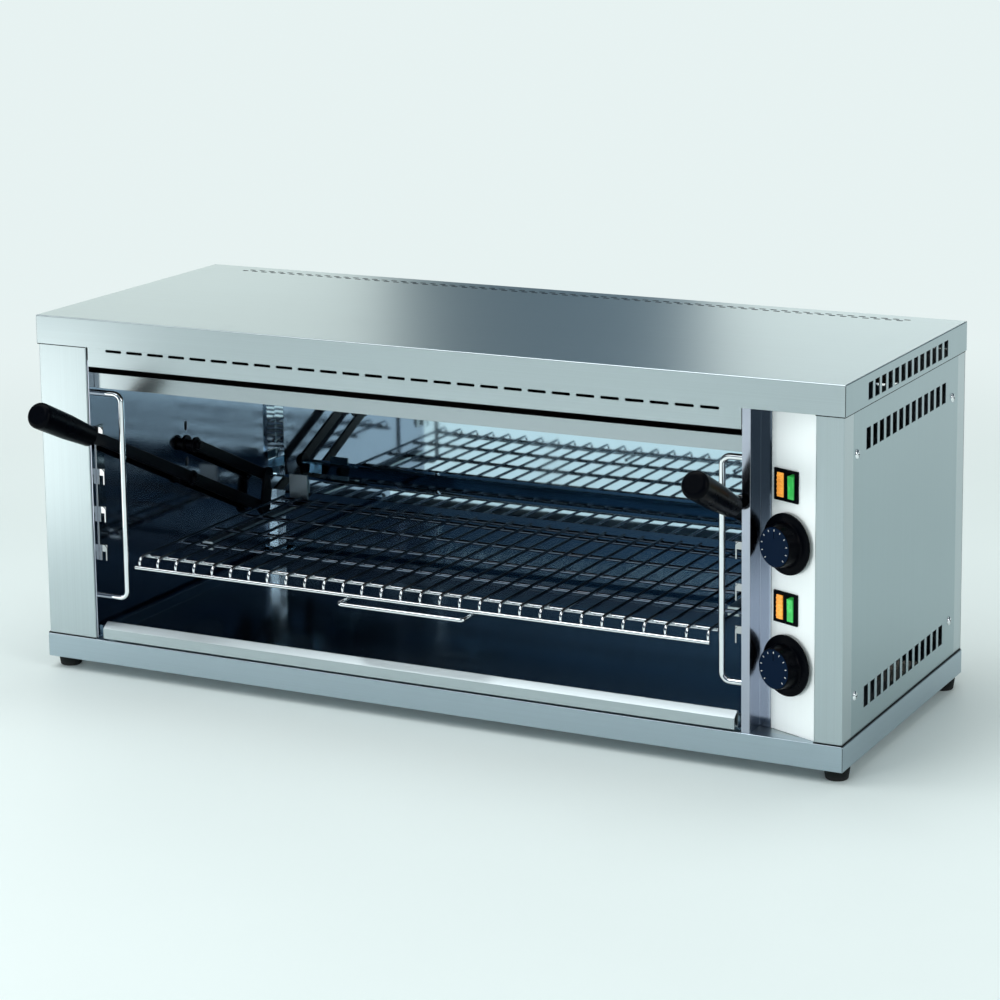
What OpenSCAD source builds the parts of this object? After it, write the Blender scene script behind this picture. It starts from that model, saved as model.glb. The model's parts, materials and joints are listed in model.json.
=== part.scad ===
// Electric cheese melter: a wide open-fronted grill with a wire grid that two side levers raise
// towards the heating elements, a drip tray below it and a slanted control column on the right.
// Front faces -Y, +X is to the right, +Z up. Millimetres.

/* [Cabinet] */
// Width of the cabinet over its base and top lips
body_w = 850; // [700:10:1040]
// Depth of the cabinet at its sides, without the rear casing
body_d = 330; // [275:5:400]
// Height of the cabinet without its feet
body_h = 350; // [290:5:430]
// Height of the feet
foot_h = 12; // [8:1:20]
// Thickness of the cabinet sheet
sheet = 1.2; // [1:0.1:1.5]
// Height of the base pan's lip
base_lip = 24; // [20:1:30]
// Height of the top cover's skirt
top_lip = 28.5; // [22:0.5:36]
// How far the rear casing stands out behind the sides
casing_d = 26; // [24:1:40]

/* [Cavity and column] */
// Width of the left pillar, up to the cavity's left wall
pillar_w = 59; // [50:1:75]
// Width of the control column, from the cavity's right wall to the side
column_w = 97; // [92:1:117]
// Angle by which the control panel is turned towards the cavity
panel_turn = 22.3; // [18:0.1:24]

/* [Lever linkage] */
// Angle of the levers above the horizontal, with the grid at its lowest
lever_rise = 24.6; // [20:0.1:28]
// Length of a lever in front of its pivot, grip included
lever_front = 283; // [260:1:300]
// Swing of the levers from the lowest to the highest stop
lever_swing = 42; // [34:1:51]
// Radius of the linkage pins
pin_r = 3; // [2.5:0.1:3.5]
// Width of the flat lever bars
bar_w = 12; // [10:0.5:14]
// Thickness of the flat lever bars
bar_t = 3; // [2.5:0.5:4]

/* [Grid and tray] */
// Spacing of the grid's long wires
wire_pitch = 21.1; // [16:0.1:30]
// Radius of the grid's long wires
wire_r = 1.5; // [1.2:0.1:2]
// Radius of the grid's cross wires and frame
frame_r = 2; // [1.5:0.1:2.5]
// Height of the tray's front lip
tray_lip = 15; // [12:1:20]

/* [Hidden] */
$fn = 48;

// Colours
steel = [0.72, 0.77, 0.78];
bright = [0.86, 0.90, 0.90];
mirror_steel = [0.45, 0.50, 0.55];
chrome = [0.88, 0.90, 0.92];
black = [0.06, 0.06, 0.07];
amber = [0.92, 0.62, 0.22];
green = [0.20, 0.72, 0.30];
dark_red = [0.35, 0.22, 0.18];

// Clearances
seat_gap = 0.3;
running = 0.05;
open_play = 0.3;
eps = 0.5;

// Levels of the cabinet
half_w = body_w / 2;
base_top = foot_h + base_lip;
top_z = foot_h + body_h;
skirt_z = top_z - top_lip;
cover_under = top_z - sheet;
post_top = cover_under - seat_gap;

// Upright sheets stand one sheet and a gap inside the base and top lips
inset = sheet + seat_gap;
side_x = half_w - inset;
rear_y = body_d - inset;
side_y0 = 24.7;
side_y1 = body_d - 21.4;
joggle_w = 24;
base_flange = 12;

// Cavity between its walls, floor and ceiling
cav_xl = -half_w + pillar_w;
cav_xr = half_w - column_w;
cav_w = cav_xr - cav_xl;
cav_xc = (cav_xl + cav_xr) / 2;
cav_back = body_d + 16;
floor_top = base_top + sheet;
ceiling_z = top_z - 44;
casing_top = ceiling_z + 4;
cav_top = casing_top - sheet - 0.4;
deflector_z = top_z - 71;

// Vent rows
vent_pitch = 17.1;
vent_w = 11.5;
vent_h = 19.5;
vent_n = floor((side_y1 - side_y0 - 70) / vent_pitch) + 1;
perf_pitch = 11.5;
perf_w = 7;
perf_h = 3.2;
dash_pitch = 24.3;
dash_w = 18.5;
dash_h = 2.6;

// Screws
screw_r = 1.9;
screw_hole_r = 2.2;
screw_zs = [foot_h + 62, top_z - 68];
screw_ys = [side_y0 + 8.3, side_y1 - 16.1];
rear_screw_zs = [foot_h + 48, foot_h + body_h / 2, skirt_z - 24];
rear_screw_x = half_w - 10.5;

// Feet
foot_r = 12;
foot_x = half_w - 12.5;
foot_y = 20;

// Heating elements: two hairpins of four runs each
element_r = 4.25;
element_y = 40;
element_z = deflector_z + 12;
element_pitch = (cav_back - element_y) / 8;
element_ends = [for (i = [0, 3, 4, 7]) element_y + i * element_pitch];
element_x0 = cav_xl + 35;
element_x1 = cav_xr - 30;

// Guide rods
rod_d = 26;
rod_y0 = 19;
rod_r = 3;
rod_bend = 8;
rod_top = top_z - 77.5;
rod_bottom = base_top + 40.5;

// Control column: the divider's outer face, the panel's start and its end at the right pillar
divider_w = 8;
divider_x = cav_xr + divider_w;
panel_x0 = divider_x + 10.5;
panel_x1 = half_w - 28.7;
panel_y1 = 5.28;
panel_y0 = panel_y1 + (panel_x1 - panel_x0) * tan(panel_turn);
panel_len = (panel_x1 - panel_x0) / cos(panel_turn);
right_flange_x = panel_x1 + 0.7;
switch_u = 19;
switch_zs = [top_z - 98.7, top_z - 210.4];
switch_w = 29;
switch_body_w = 26;
rocker_w = 7.2;
rocker_r = 11.4;
rocker_depth = 6;
rocker_tilt = 7;
rocker_du = 6.3;
lens_w = 7.4;
lens_h = 22;
knob_u = 23;
knob_zs = [top_z - 150.5, top_z - 261.9];
knob_gap = 4;
shaft_r = 3;
shaft_in = 12;

// Linkage: points in the cabinet's side view, with the grid at its lowest
hook_reach = 9.5;
bar_d = hook_reach + 0.8;
plate_t = 3;
plate_d = bar_d + bar_t + 0.5;
crank = 6;
crank_y0 = 173;
crank_y1 = 187;
grip_len = 92;
grip_r = 13;
grip_edge = 5;
pivot = [body_d / 2, foot_h + 0.443 * body_h];
link_offset = [8, 33.5];
lever_rear = (body_d / 2 - 30) / cos(lever_rise);
reach = lever_rear * [cos(lever_rise), -sin(lever_rise)];
rear_pin = pivot + reach;
link_pin = rear_pin + link_offset;
carrier_w = 9;
cross_y = rear_pin[0] + 4;
cross_top = link_pin[1] + 1.3;
cross_h = 15;
cross_d = 11;
cross_t = 2.5;
hanger_dx = 290 * cav_w / 694;
hanger_w = 22;
hanger_t = 3;
hanger_top = cross_top + 5;
arm_w = 12;
arm_tip = 120;
arm_lip = 9;

// Stop hooks: where the lever's upper edge lies at each of four even steps of the swing
hook_n = 4;
hook_y = 9.5;
hook_t = 1.5;
hook_h = 16;
hook_slot = 9;
function hook_z(i) =
  let (a = lever_rise - i * lever_swing / (hook_n - 1))
  pivot[1] + (pivot[0] - hook_y) * tan(a) + bar_w / 2 / cos(a) + seat_gap;

// Grid
wire_sink = 0.4;
grid_z = rear_pin[1] + 14.9;
cross_wire_z = grid_z - wire_r - frame_r + wire_sink;
arm_top = cross_wire_z - frame_r - seat_gap;
grid_x0 = cav_xl + 40.5;
grid_x1 = cav_xr - 40.5;
grid_y0 = 18;
grid_y1 = cross_y - hanger_t - 0.5;
grid_n = floor((grid_x1 - grid_x0) / wire_pitch) + 1;
grid_step = (grid_x1 - grid_x0) / (grid_n - 1);
first_cross = 38;
last_cross = grid_y1 - 21.5;
cross_spaces = 4;
cross_over = 3;
bend_r = 6;
front_drop = 11;
front_wire_z = grid_z - front_drop + 1;

// Depth of the whole model, grips and gland included, and the middle of it
gland_len = 20;
front_most = pivot[0] - (lever_front - grip_edge) * cos(lever_rise)
  - (grip_r - grip_edge) * sin(lever_rise) - grip_edge;
rear_most = body_d + casing_d + gland_len;
y_mid = (front_most + rear_most) / 2;

// ---- frames ----
module centred() { translate([0, -y_mid, 0]) children(); }

// Cabinet frame of one wall: x is the distance from the cavity wall's inner face
module wall_frame(s) {
  centred() translate([s < 0 ? cav_xl : cav_xr, 0, 0])
    if (s < 0) children(); else mirror([1, 0, 0]) children();
}

// Right-hand half of the cabinet, or its mirror image
module side_frame(s) {
  centred() if (s > 0) children(); else mirror([1, 0, 0]) children();
}

// Control panel: x along the panel, y into the cabinet, z up
module panel_frame() {
  centred() translate([panel_x0, panel_y0, 0]) rotate([0, 0, -panel_turn]) children();
}

// Outward axis of a piece on the control panel
module on_panel(u, z, out) { panel_frame() translate([u, -out, z]) rotate([90, 0, 0]) children(); }

// Lever frame: x from the wall, y along the bar towards the rear, z across it
module lever_frame(s, p) {
  wall_frame(s) translate([0, p[0], p[1]]) rotate([-lever_rise, 0, 0]) children();
}

// ---- shared shapes ----
module block(a, b) { translate(a) cube(b - a); }
module along_x(l) { rotate([90, 0, 90]) linear_extrude(l) children(); }
module disc_x(x0, x1, r) { translate([x0, 0, 0]) rotate([0, 90, 0]) cylinder(r = r, h = x1 - x0); }
module rod_x(x0, x1, y, z, r) { translate([0, y, z]) disc_x(x0, x1, r); }
module rod_y(y0, y1, x, z, r) { translate([x, y0, z]) rotate([-90, 0, 0]) cylinder(r = r, h = y1 - y0); }

// Rectangle between two corners, for the sections and cut-outs of sheet
module strip_rect(x0, y0, x1, y1) { translate([x0, y0]) square([x1 - x0, y1 - y0]); }

// Slot with round ends in the plane, length l along x, width w
module slot2d(l, w) {
  square([l - w, w], center = true);
  for (s = [-1, 1]) translate([s * (l - w) / 2, 0]) circle(d = w);
}

// ---- cabinet shell ----
module base_pan() {
  slot_n = 9;
  centred() color(steel) difference() {
    block([-half_w, 0, foot_h], [half_w, body_d, base_top]);
    block([-half_w + sheet, sheet, foot_h + sheet], [half_w - sheet, body_d - sheet, base_top - sheet]);
    block([-half_w + base_flange, base_flange, foot_h + sheet],
          [half_w - base_flange, body_d - base_flange, base_top + eps]);
    for (x = [-foot_x, foot_x], y = [foot_y, body_d - foot_y])
      translate([x, y, foot_h - eps]) cylinder(r = 3, h = sheet + 2 * eps);
    for (side = [-1, 1], i = [0 : slot_n - 1])
      translate([side * half_w * 0.55 + (i - (slot_n - 1) / 2) * 12, body_d / 2, foot_h - eps])
        linear_extrude(sheet + 2 * eps) rotate(90) slot2d(90, 5);
  }
}

module foot(sx, y) {
  centred() color(black) translate([sx * foot_x, y, 0]) {
    rotate_extrude() polygon([
      [0, 0], [foot_r - 2.5, 0], [foot_r - 1.5, 1], [foot_r, foot_h - 1], [foot_r - 1, foot_h], [0, foot_h]
    ]);
    cylinder(r = 2.5, h = foot_h + 9);
    translate([0, 0, foot_h + sheet]) cylinder(r = 4.6, h = 4, $fn = 6);
  }
}

// Corner sheet: a front face of width w and a side return that steps in behind the side panel
module pillar_plan(w) {
  strip_rect(side_x - w, inset, side_x, inset + sheet);
  strip_rect(side_x - sheet, inset, side_x, side_y0);
  strip_rect(side_x - 2 * sheet - seat_gap, side_y0 - sheet, side_x, side_y0);
  strip_rect(side_x - 2 * sheet - seat_gap, side_y0 - sheet, side_x - sheet - seat_gap, side_y0 + joggle_w);
  strip_rect(side_x - w, inset, side_x - w + sheet, inset + 14);
}

module pillar(s, w) {
  side_frame(s) color(steel) difference() {
    translate([0, 0, base_top]) linear_extrude(post_top - base_top) pillar_plan(w);
    for (z = screw_zs) rod_x(side_x - 5, side_x, screw_ys[0], z, screw_hole_r);
  }
}

module rear_post_plan() {
  strip_rect(side_x - sheet, side_y1, side_x, rear_y);
  strip_rect(side_x - 16, rear_y - sheet, side_x, rear_y);
  strip_rect(side_x - 2 * sheet - seat_gap, side_y1, side_x, side_y1 + sheet);
  strip_rect(side_x - 2 * sheet - seat_gap, side_y1 - joggle_w, side_x - sheet - seat_gap, side_y1 + sheet);
}

module rear_post(s) {
  side_frame(s) color(steel) difference() {
    translate([0, 0, base_top]) linear_extrude(post_top - base_top) rear_post_plan();
    for (z = screw_zs) rod_x(side_x - 5, side_x, screw_ys[1], z, screw_hole_r);
    for (z = rear_screw_zs) rod_y(rear_y - 3, rear_y + eps, rear_screw_x, z, screw_hole_r);
  }
}

// One row of upright vents in a side, in the (y, z) plane
module vent_row(z0, h) {
  first = side_y0 + 38 - vent_w / 2;
  for (i = [0 : vent_n - 1]) strip_rect(first + i * vent_pitch, z0, first + i * vent_pitch + vent_w, z0 + h);
}

module side_panel(s) {
  side_frame(s) color(steel) difference() {
    translate([side_x - sheet, 0, 0]) along_x(sheet) difference() {
      strip_rect(side_y0 + seat_gap, base_top, side_y1 - seat_gap, skirt_z - 0.8);
      vent_row(foot_h + 44, vent_h);
      vent_row(top_z - 69, vent_h);
    }
    for (y = screw_ys, z = screw_zs) rod_x(side_x - 3, side_x + eps, y, z, screw_hole_r);
  }
}

module rear_panel() {
  case_x = half_w - 20;
  case_z0 = base_top - 2;
  back = body_d + casing_d;
  slot_n = floor(2 * case_x / 26) - 3;
  centred() color(steel) difference() {
    union() {
      block([-side_x, body_d - sheet, base_top + seat_gap], [side_x, body_d, skirt_z - seat_gap]);
      block([-case_x, body_d - eps, case_z0], [case_x, back, casing_top]);
    }
    block([-case_x + sheet, body_d - 2, case_z0 + sheet], [case_x - sheet, back - sheet, casing_top - sheet]);
    block([-case_x, body_d - sheet, case_z0 - eps], [case_x, body_d, base_top + seat_gap]);
    for (z = [casing_top - 34, case_z0 + 40], i = [0 : slot_n - 1])
      translate([(i - (slot_n - 1) / 2) * 26, back - 3, z]) rotate([-90, 0, 0])
        linear_extrude(4) slot2d(18, 4);
    for (s = [-1, 1], z = rear_screw_zs) rod_y(body_d - 3, body_d + eps, s * rear_screw_x, z, screw_hole_r);
    rod_y(back - 3, back + eps, case_x - 35, foot_h + 105, 10.3);
  }
}

module top_cover() {
  perf_n = floor((body_w - 100) / perf_pitch);
  centred() color(steel) difference() {
    block([-half_w, 0, skirt_z], [half_w, body_d, top_z]);
    block([-half_w + sheet, sheet, skirt_z - eps], [half_w - sheet, body_d - sheet, cover_under]);
    translate([0, 0, cover_under - eps]) linear_extrude(sheet + 2 * eps)
      for (row = [0, 1], i = [0 : perf_n - 1])
        translate([(i - (perf_n - 1) / 2 + row / 2 - 0.25) * perf_pitch, body_d - 24 + row * 6])
          slot2d(perf_w, perf_h);
    translate([-half_w - eps, 0, 0]) along_x(body_w + 2 * eps)
      vent_row(skirt_z + 4.5, 15.5);
  }
}

module header_strip() {
  z0 = skirt_z - 19.4;
  dash_n = floor((cav_w - 14) / dash_pitch);
  x0 = cav_xl + 0.7;
  x1 = cav_xr - 0.7;
  centred() color(steel) difference() {
    translate([x0, 0, 0]) along_x(x1 - x0) {
      strip_rect(inset, z0, inset + sheet, post_top);
      strip_rect(inset, z0, 14, z0 + sheet);
    }
    for (i = [0 : dash_n - 1])
      translate([cav_xc + (i - (dash_n - 1) / 2) * dash_pitch, 0, skirt_z - 2.3])
        rotate([-90, 0, 0]) linear_extrude(5) slot2d(dash_w, dash_h);
  }
}

module heat_deflector() {
  centred() color(bright) translate([cav_xl + seat_gap, 0, 0]) along_x(cav_w - 2 * seat_gap) {
    strip_rect(12, deflector_z, 12 + sheet, deflector_z + 15);
    strip_rect(12, deflector_z + 15 - sheet, 30, deflector_z + 15);
    strip_rect(30 - sheet, deflector_z + 15 - sheet, 30, ceiling_z);
    strip_rect(12, deflector_z, 20, deflector_z + sheet);
  }
}

module ceiling_reflector() {
  z1 = ceiling_z + sheet;
  centred() color(mirror_steel) translate([cav_xl + seat_gap, 0, 0]) along_x(cav_w - 2 * seat_gap) {
    strip_rect(16, ceiling_z, cav_back - seat_gap, z1);
    strip_rect(cav_back - seat_gap - sheet, ceiling_z - 10, cav_back - seat_gap, z1);
    strip_rect(16, ceiling_z, 16 + sheet, ceiling_z + 12);
  }
}

module cavity_left_wall() {
  wall_frame(-1) color(mirror_steel) difference() {
    block([-sheet, 3, base_top], [0, cav_back, cav_top]);
    for (dz = [-19, 19]) translate([-sheet - eps, pivot[0] + link_offset[0], pivot[1] + link_offset[1] + dz])
      along_x(sheet + 2 * eps) rotate(90) slot2d(10, 5);
  }
}

// The right wall carries on as the divider: front face, right face and the strip beside the panel
module cavity_right_wall() {
  module plan() {
    strip_rect(cav_xr, inset, cav_xr + sheet, cav_back);
    strip_rect(cav_xr, inset, divider_x, inset + sheet);
    strip_rect(divider_x - sheet, inset, divider_x, panel_y0 + sheet);
    strip_rect(divider_x - sheet, panel_y0, panel_x0, panel_y0 + sheet);
  }
  centred() color(mirror_steel) difference() {
    translate([0, 0, base_top]) linear_extrude(post_top - base_top) plan();
    for (y = element_ends) rod_x(cav_xr - eps, cav_xr + sheet + eps, y, element_z, 4.4);
    block([cav_xr - eps, 40, cav_top], [cav_xr + sheet + eps, cav_back + eps, post_top + eps]);
    for (dz = [-19, 19])
      translate([cav_xr - eps, pivot[0] + link_offset[0], pivot[1] + link_offset[1] + dz])
        along_x(sheet + 2 * eps) rotate(90) slot2d(10, 5);
  }
}

module cavity_back_wall() {
  centred() color(mirror_steel) {
    block([cav_xl - sheet, cav_back, base_top + seat_gap], [cav_xr + sheet, cav_back + sheet, cav_top]);
    block([cav_xl - sheet, cav_back, cav_top - sheet], [cav_xr + sheet, cav_back + 7, cav_top]);
  }
}

module cavity_floor() {
  centred() color(mirror_steel) block([cav_xl + 0.1, 10, base_top], [cav_xr - 0.1, cav_back - 0.1, floor_top]);
}

// ---- heating ----
// Four straight runs joined by three round turns; both ends leave through the right wall
module element(first) {
  y = [for (i = [0 : 3]) element_y + (first + i) * element_pitch];
  turn = element_pitch / 2;
  module bend(x, yc, s) {
    translate([x, yc, element_z]) rotate([0, 0, s > 0 ? -90 : 90])
      rotate_extrude(angle = 180) translate([turn, 0]) circle(r = element_r);
  }
  centred() color(dark_red) {
    for (i = [0, 3]) rod_x(element_x0, cav_xr + 22, y[i], element_z, element_r);
    for (i = [1, 2]) rod_x(element_x0, element_x1, y[i], element_z, element_r);
    bend(element_x0, y[0] + turn, -1);
    bend(element_x0, y[2] + turn, -1);
    bend(element_x1, y[1] + turn, 1);
    for (i = [0, 3]) rod_x(cav_xr + 18, cav_xr + 32, y[i], element_z, 2);
  }
}

module element_supports() {
  plate_n = 3;
  centred() color(steel) for (i = [0 : plate_n - 1])
    translate([cav_xc + (i - 1) * cav_w * 0.3, 0, 0]) along_x(1.5) difference() {
      strip_rect(element_y - 9, element_z - 7, element_y + 7 * element_pitch + 9, ceiling_z);
      for (k = [0 : 7]) translate([element_y + k * element_pitch, element_z]) circle(r = element_r + 0.15);
    }
}

// ---- control column ----
module control_panel() {
  panel_frame() color(bright) difference() {
    block([0.4, 0, base_top], [panel_len, sheet, post_top]);
    for (z = knob_zs) translate([knob_u, -eps, z]) rotate([-90, 0, 0]) cylinder(r = 4, h = sheet + 2 * eps);
    for (z = switch_zs)
      block([switch_u - switch_body_w / 2 - 0.3, -eps, z - switch_body_w / 2 - 0.3],
            [switch_u + switch_body_w / 2 + 0.3, sheet + eps, z + switch_body_w / 2 + 0.3]);
  }
}

// Bezel, body, a pocket for the lens and one for the rocker with its pin bore
module switch_housing(z) {
  h = switch_w / 2;
  b = switch_body_w / 2;
  pocket_h = rocker_r + 0.4;
  panel_frame() translate([switch_u, 0, z]) color(black) difference() {
    union() {
      block([-h, -2, -h], [h, 0, h]);
      block([-b, -eps, -b], [b, 22, b]);
      for (u = [-8, 8]) block([u - 1, 22 - eps, -4], [u + 1, 30, 4]);
    }
    block([-rocker_du - lens_w / 2, -2.5, -lens_h / 2], [-rocker_du + lens_w / 2, 6, lens_h / 2]);
    block([rocker_du - rocker_w / 2 - 0.3, -2.5, -pocket_h], [rocker_du + rocker_w / 2 + 0.3, 19, pocket_h]);
    translate([0, rocker_depth, 0]) disc_x(rocker_du - rocker_w / 2 - 2, b + eps, 1.25);
  }
}

module pilot_lens(z) {
  panel_frame() translate([switch_u - rocker_du, 0, z]) color(amber) {
    block([-lens_w / 2, -2.8, -lens_h / 2], [lens_w / 2, 6, lens_h / 2]);
    for (i = [-2 : 2]) rod_x(-lens_w / 2, lens_w / 2, -2.8, i * 4, 0.7);
  }
}

// Rocker: round ends about its pin and a face in two planes, its lower end pressed in
module rocker(z) {
  panel_frame() translate([switch_u + rocker_du, rocker_depth, z]) rotate([rocker_tilt, 0, 0])
    color(green) {
      translate([-rocker_w / 2, 0, 0]) along_x(rocker_w) intersection() {
        circle(r = rocker_r);
        polygon([[-7.6, 0], [-9.6, rocker_r + 1], [5, rocker_r + 1], [5, -rocker_r - 1], [-9.6, -rocker_r - 1]]);
      }
      disc_x(-rocker_w / 2 - 1.8, rocker_w / 2 + 1.8, 1.2);
    }
}

module regulator(z) {
  panel_frame() translate([knob_u, 0, z]) color(steel) difference() {
    union() {
      block([-20, sheet, -20], [20, sheet + 1.5, 20]);
      translate([0, sheet, 0]) rotate([-90, 0, 0]) cylinder(r = 19, h = 30);
      for (a = [0 : 3]) rotate([0, 90 * a + 45, 0]) block([13, sheet + 31 - 1.2, -3], [17, sheet + 38, -1.5]);
    }
    rotate([-90, 0, 0]) cylinder(r = shaft_r + running, h = 20);
  }
}

module regulator_shaft(z) {
  on_panel(knob_u, z, -shaft_in) color(chrome) cylinder(r = shaft_r, h = shaft_in + knob_gap + shaft_in);
}

// Wide thin skirt and a tapered barrel with a pointer groove; a hub round the shaft's blind bore
module knob(z) {
  skirt_r = 28;
  face_z = 16.5;
  groove = 0.6;
  on_panel(knob_u, z, knob_gap) color(black) difference() {
    rotate_extrude() polygon([
      [0, 0], [skirt_r, 0], [skirt_r, 1.6], [skirt_r - 1.5, 2.6], [21, 3.2], [20, 5],
      [18.6, face_z - 0.9], [17.8, face_z], [0, face_z]
    ]);
    translate([0, 0, -eps]) cylinder(r = shaft_r + running, h = shaft_in + eps + running);
    translate([0, 0, -eps]) difference() {
      cylinder(r = 17, h = 3 + eps);
      translate([0, 0, -eps]) cylinder(r = 6, h = 4 + eps);
    }
    block([-0.7, 8, face_z - groove], [0.7, 19, face_z + eps]);
  }
}

module terminal_block() {
  w = 11;
  centred() color(bright) translate([cav_xr + 30, body_d - 60, foot_h + sheet]) difference() {
    union() {
      block([0, 0, 0], [5 * w, 20, 12]);
      for (i = [0 : 4]) block([i * w + 2, 5, 11], [i * w + 9, 15, 18]);
    }
    for (i = [0 : 4]) translate([i * w + 5.5, 10, 10]) cylinder(r = 2.2, h = 9);
  }
}

module cable_gland() {
  centred() color(black) translate([half_w - 55, body_d + casing_d, foot_h + 105]) rotate([-90, 0, 0])
    difference() {
      union() {
        translate([0, 0, -10]) cylinder(r = 10, h = 12);
        translate([0, 0, -sheet - 4]) cylinder(r = 13.5, h = 4, $fn = 6);
        cylinder(r = 13.5, h = 6, $fn = 6);
        rotate_extrude() polygon([[0, 5], [12.5, 5], [12.5, 12], [9, gland_len], [0, gland_len]]);
      }
      translate([0, 0, -11]) cylinder(r = 5, h = gland_len + 12);
    }
}

// ---- lever gear ----
// Upright rod that keeps the lever beside the wall, bent back into the wall at both ends
module guide_rod(s) {
  wall_frame(s) color(chrome) translate([0, rod_y0, 0]) {
    for (z = [rod_bottom, rod_top]) translate([0, 0, z]) disc_x(0, rod_d - rod_bend, rod_r);
    translate([rod_d, 0, rod_bottom + rod_bend]) cylinder(r = rod_r, h = rod_top - rod_bottom - 2 * rod_bend);
    translate([rod_d - rod_bend, 0, rod_bottom + rod_bend]) rotate([90, 0, 0]) rotate([0, 0, -90])
      rotate_extrude(angle = 90) translate([rod_bend, 0]) circle(r = rod_r);
    translate([rod_d - rod_bend, 0, rod_top - rod_bend]) rotate([90, 0, 0])
      rotate_extrude(angle = 90) translate([rod_bend, 0]) circle(r = rod_r);
  }
}

// Hooks punched from one strip: each has a slot that opens downwards for the lever bar
module stop_hooks(s) {
  wall_frame(s) color(chrome) {
    for (i = [0 : hook_n - 1]) translate([0, hook_y, hook_z(i)]) difference() {
      block([0, 0, -hook_slot], [hook_reach, hook_t, hook_h - hook_slot]);
      block([3.5, -eps, -hook_slot - eps], [8, hook_t + eps, 0]);
      translate([hook_reach, -eps, hook_h - hook_slot]) rotate([0, -45, 0]) cube([4, hook_t + 1, 4], center = true);
    }
    block([0, hook_y, hook_z(hook_n - 1) - hook_slot], [1, hook_y + 14, hook_z(0) + hook_h - hook_slot]);
  }
}

module pivot_studs(s) {
  wall_frame(s) color(black) for (p = [pivot, pivot + link_offset]) translate([0, p[0], p[1]]) {
    disc_x(0, 1.5, 9);
    disc_x(0, bar_d - 0.2, 5);
    disc_x(0, plate_d + 2, pin_r);
    translate([plate_d - 0.3, 0, 0]) rotate([0, 90, 0]) cylinder(r = 5.5, h = 3.4, $fn = 6);
    disc_x(plate_d + 3, plate_d + 5, 3.4);
  }
}

module bar(l0, l1, r0, r1) {
  difference() {
    union() {
      block([bar_d, l0, -bar_w / 2], [bar_d + bar_t, l1, bar_w / 2]);
      disc_x(bar_d, bar_d + bar_t, bar_w / 2 + 2);
      translate([0, l1, 0]) disc_x(bar_d, bar_d + bar_t, bar_w / 2 + 2);
    }
    disc_x(bar_d - eps, bar_d + bar_t + eps, r0);
    translate([0, l1, 0]) disc_x(bar_d - eps, bar_d + bar_t + eps, r1);
  }
}

// Flat lever bar, cranked towards the wall just behind its grip
module lever(s, rear_bore) {
  tang = lever_front - 25;
  lever_frame(s, pivot) color(black) {
    bar(-crank_y0, lever_rear, pin_r + running, rear_bore);
    translate([0, 0, -bar_w / 2]) linear_extrude(bar_w) polygon([
      [bar_d, -crank_y0 + 1], [bar_d + bar_t, -crank_y0 + 1],
      [bar_d + bar_t, -crank_y0], [bar_d + bar_t - crank, -crank_y1],
      [bar_d + bar_t - crank, -tang], [bar_d - crank, -tang], [bar_d - crank, -crank_y1], [bar_d, -crank_y0]
    ]);
  }
}

module grip(s) {
  mid = bar_d + bar_t / 2 - crank;
  root = grip_r - 2.5;
  lever_frame(s, pivot) color(black) translate([mid, -(lever_front - grip_len), 0]) rotate([90, 0, 0])
    difference() {
      rotate_extrude() {
        polygon([[0, 0], [root - 1, 0], [root, 1], [root, 5], [grip_r - 0.6, 40], [grip_r, grip_len - 14],
                 [grip_r, grip_len - grip_edge], [grip_r - grip_edge, grip_len], [0, grip_len]]);
        intersection() {
          translate([grip_r - grip_edge, grip_len - grip_edge]) circle(r = grip_edge);
          strip_rect(0, 0, grip_r, grip_len);
        }
      }
      block([-bar_t / 2 - 0.1, -bar_w / 2 - 0.1, -eps], [bar_t / 2 + 0.1, bar_w / 2 + 0.1, grip_len - 24.9]);
    }
}

module upper_link(s) {
  lever_frame(s, pivot + link_offset) color(black) bar(0, lever_rear, pin_r + running, pin_r + open_play);
}

// Upright plate that joins the rear ends of lever and link, with its two pins
module carrier_plate(s) {
  n = link_offset / norm(link_offset);
  side = carrier_w * [n[1], -n[0]];
  wall_frame(s) color(black) {
    translate([plate_d, 0, 0]) along_x(plate_t) {
      for (p = [rear_pin, link_pin]) translate(p) circle(r = carrier_w);
      polygon([rear_pin + side, link_pin + side, link_pin - side, rear_pin - side]);
    }
    for (p = [rear_pin, link_pin]) translate([0, p[0], p[1]]) {
      disc_x(bar_d - 0.2, plate_d + eps, pin_r);
      disc_x(bar_d - 2.7, bar_d - 0.2, pin_r + 2);
    }
  }
}

// Angle bar between the two carrier plates
module rear_cross_bar() {
  d = plate_d + plate_t;
  centred() color(steel) translate([cav_xl + d, 0, 0]) along_x(cav_w - 2 * d) {
    strip_rect(cross_y, cross_top - cross_h, cross_y + cross_t, cross_top);
    strip_rect(cross_y, cross_top - cross_t, cross_y + cross_d, cross_top);
  }
}

// Hanger on the front of the cross bar, bent forward into the arm that the grid lies on
module support_arm(s) {
  foot_d = 20;
  w = hanger_w / 2;
  centred() color(steel) translate([cav_xc + s * hanger_dx, 0, 0]) {
    block([-w, cross_y - hanger_t, arm_top - hanger_t], [w, cross_y, hanger_top]);
    block([-w, cross_y - foot_d, arm_top - hanger_t], [w, cross_y, arm_top]);
    block([-arm_w / 2, arm_tip, arm_top - hanger_t], [arm_w / 2, cross_y - foot_d / 2, arm_top]);
    block([-arm_w / 2, arm_tip, arm_top - arm_lip], [arm_w / 2, arm_tip + hanger_t, arm_top]);
  }
}

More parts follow.
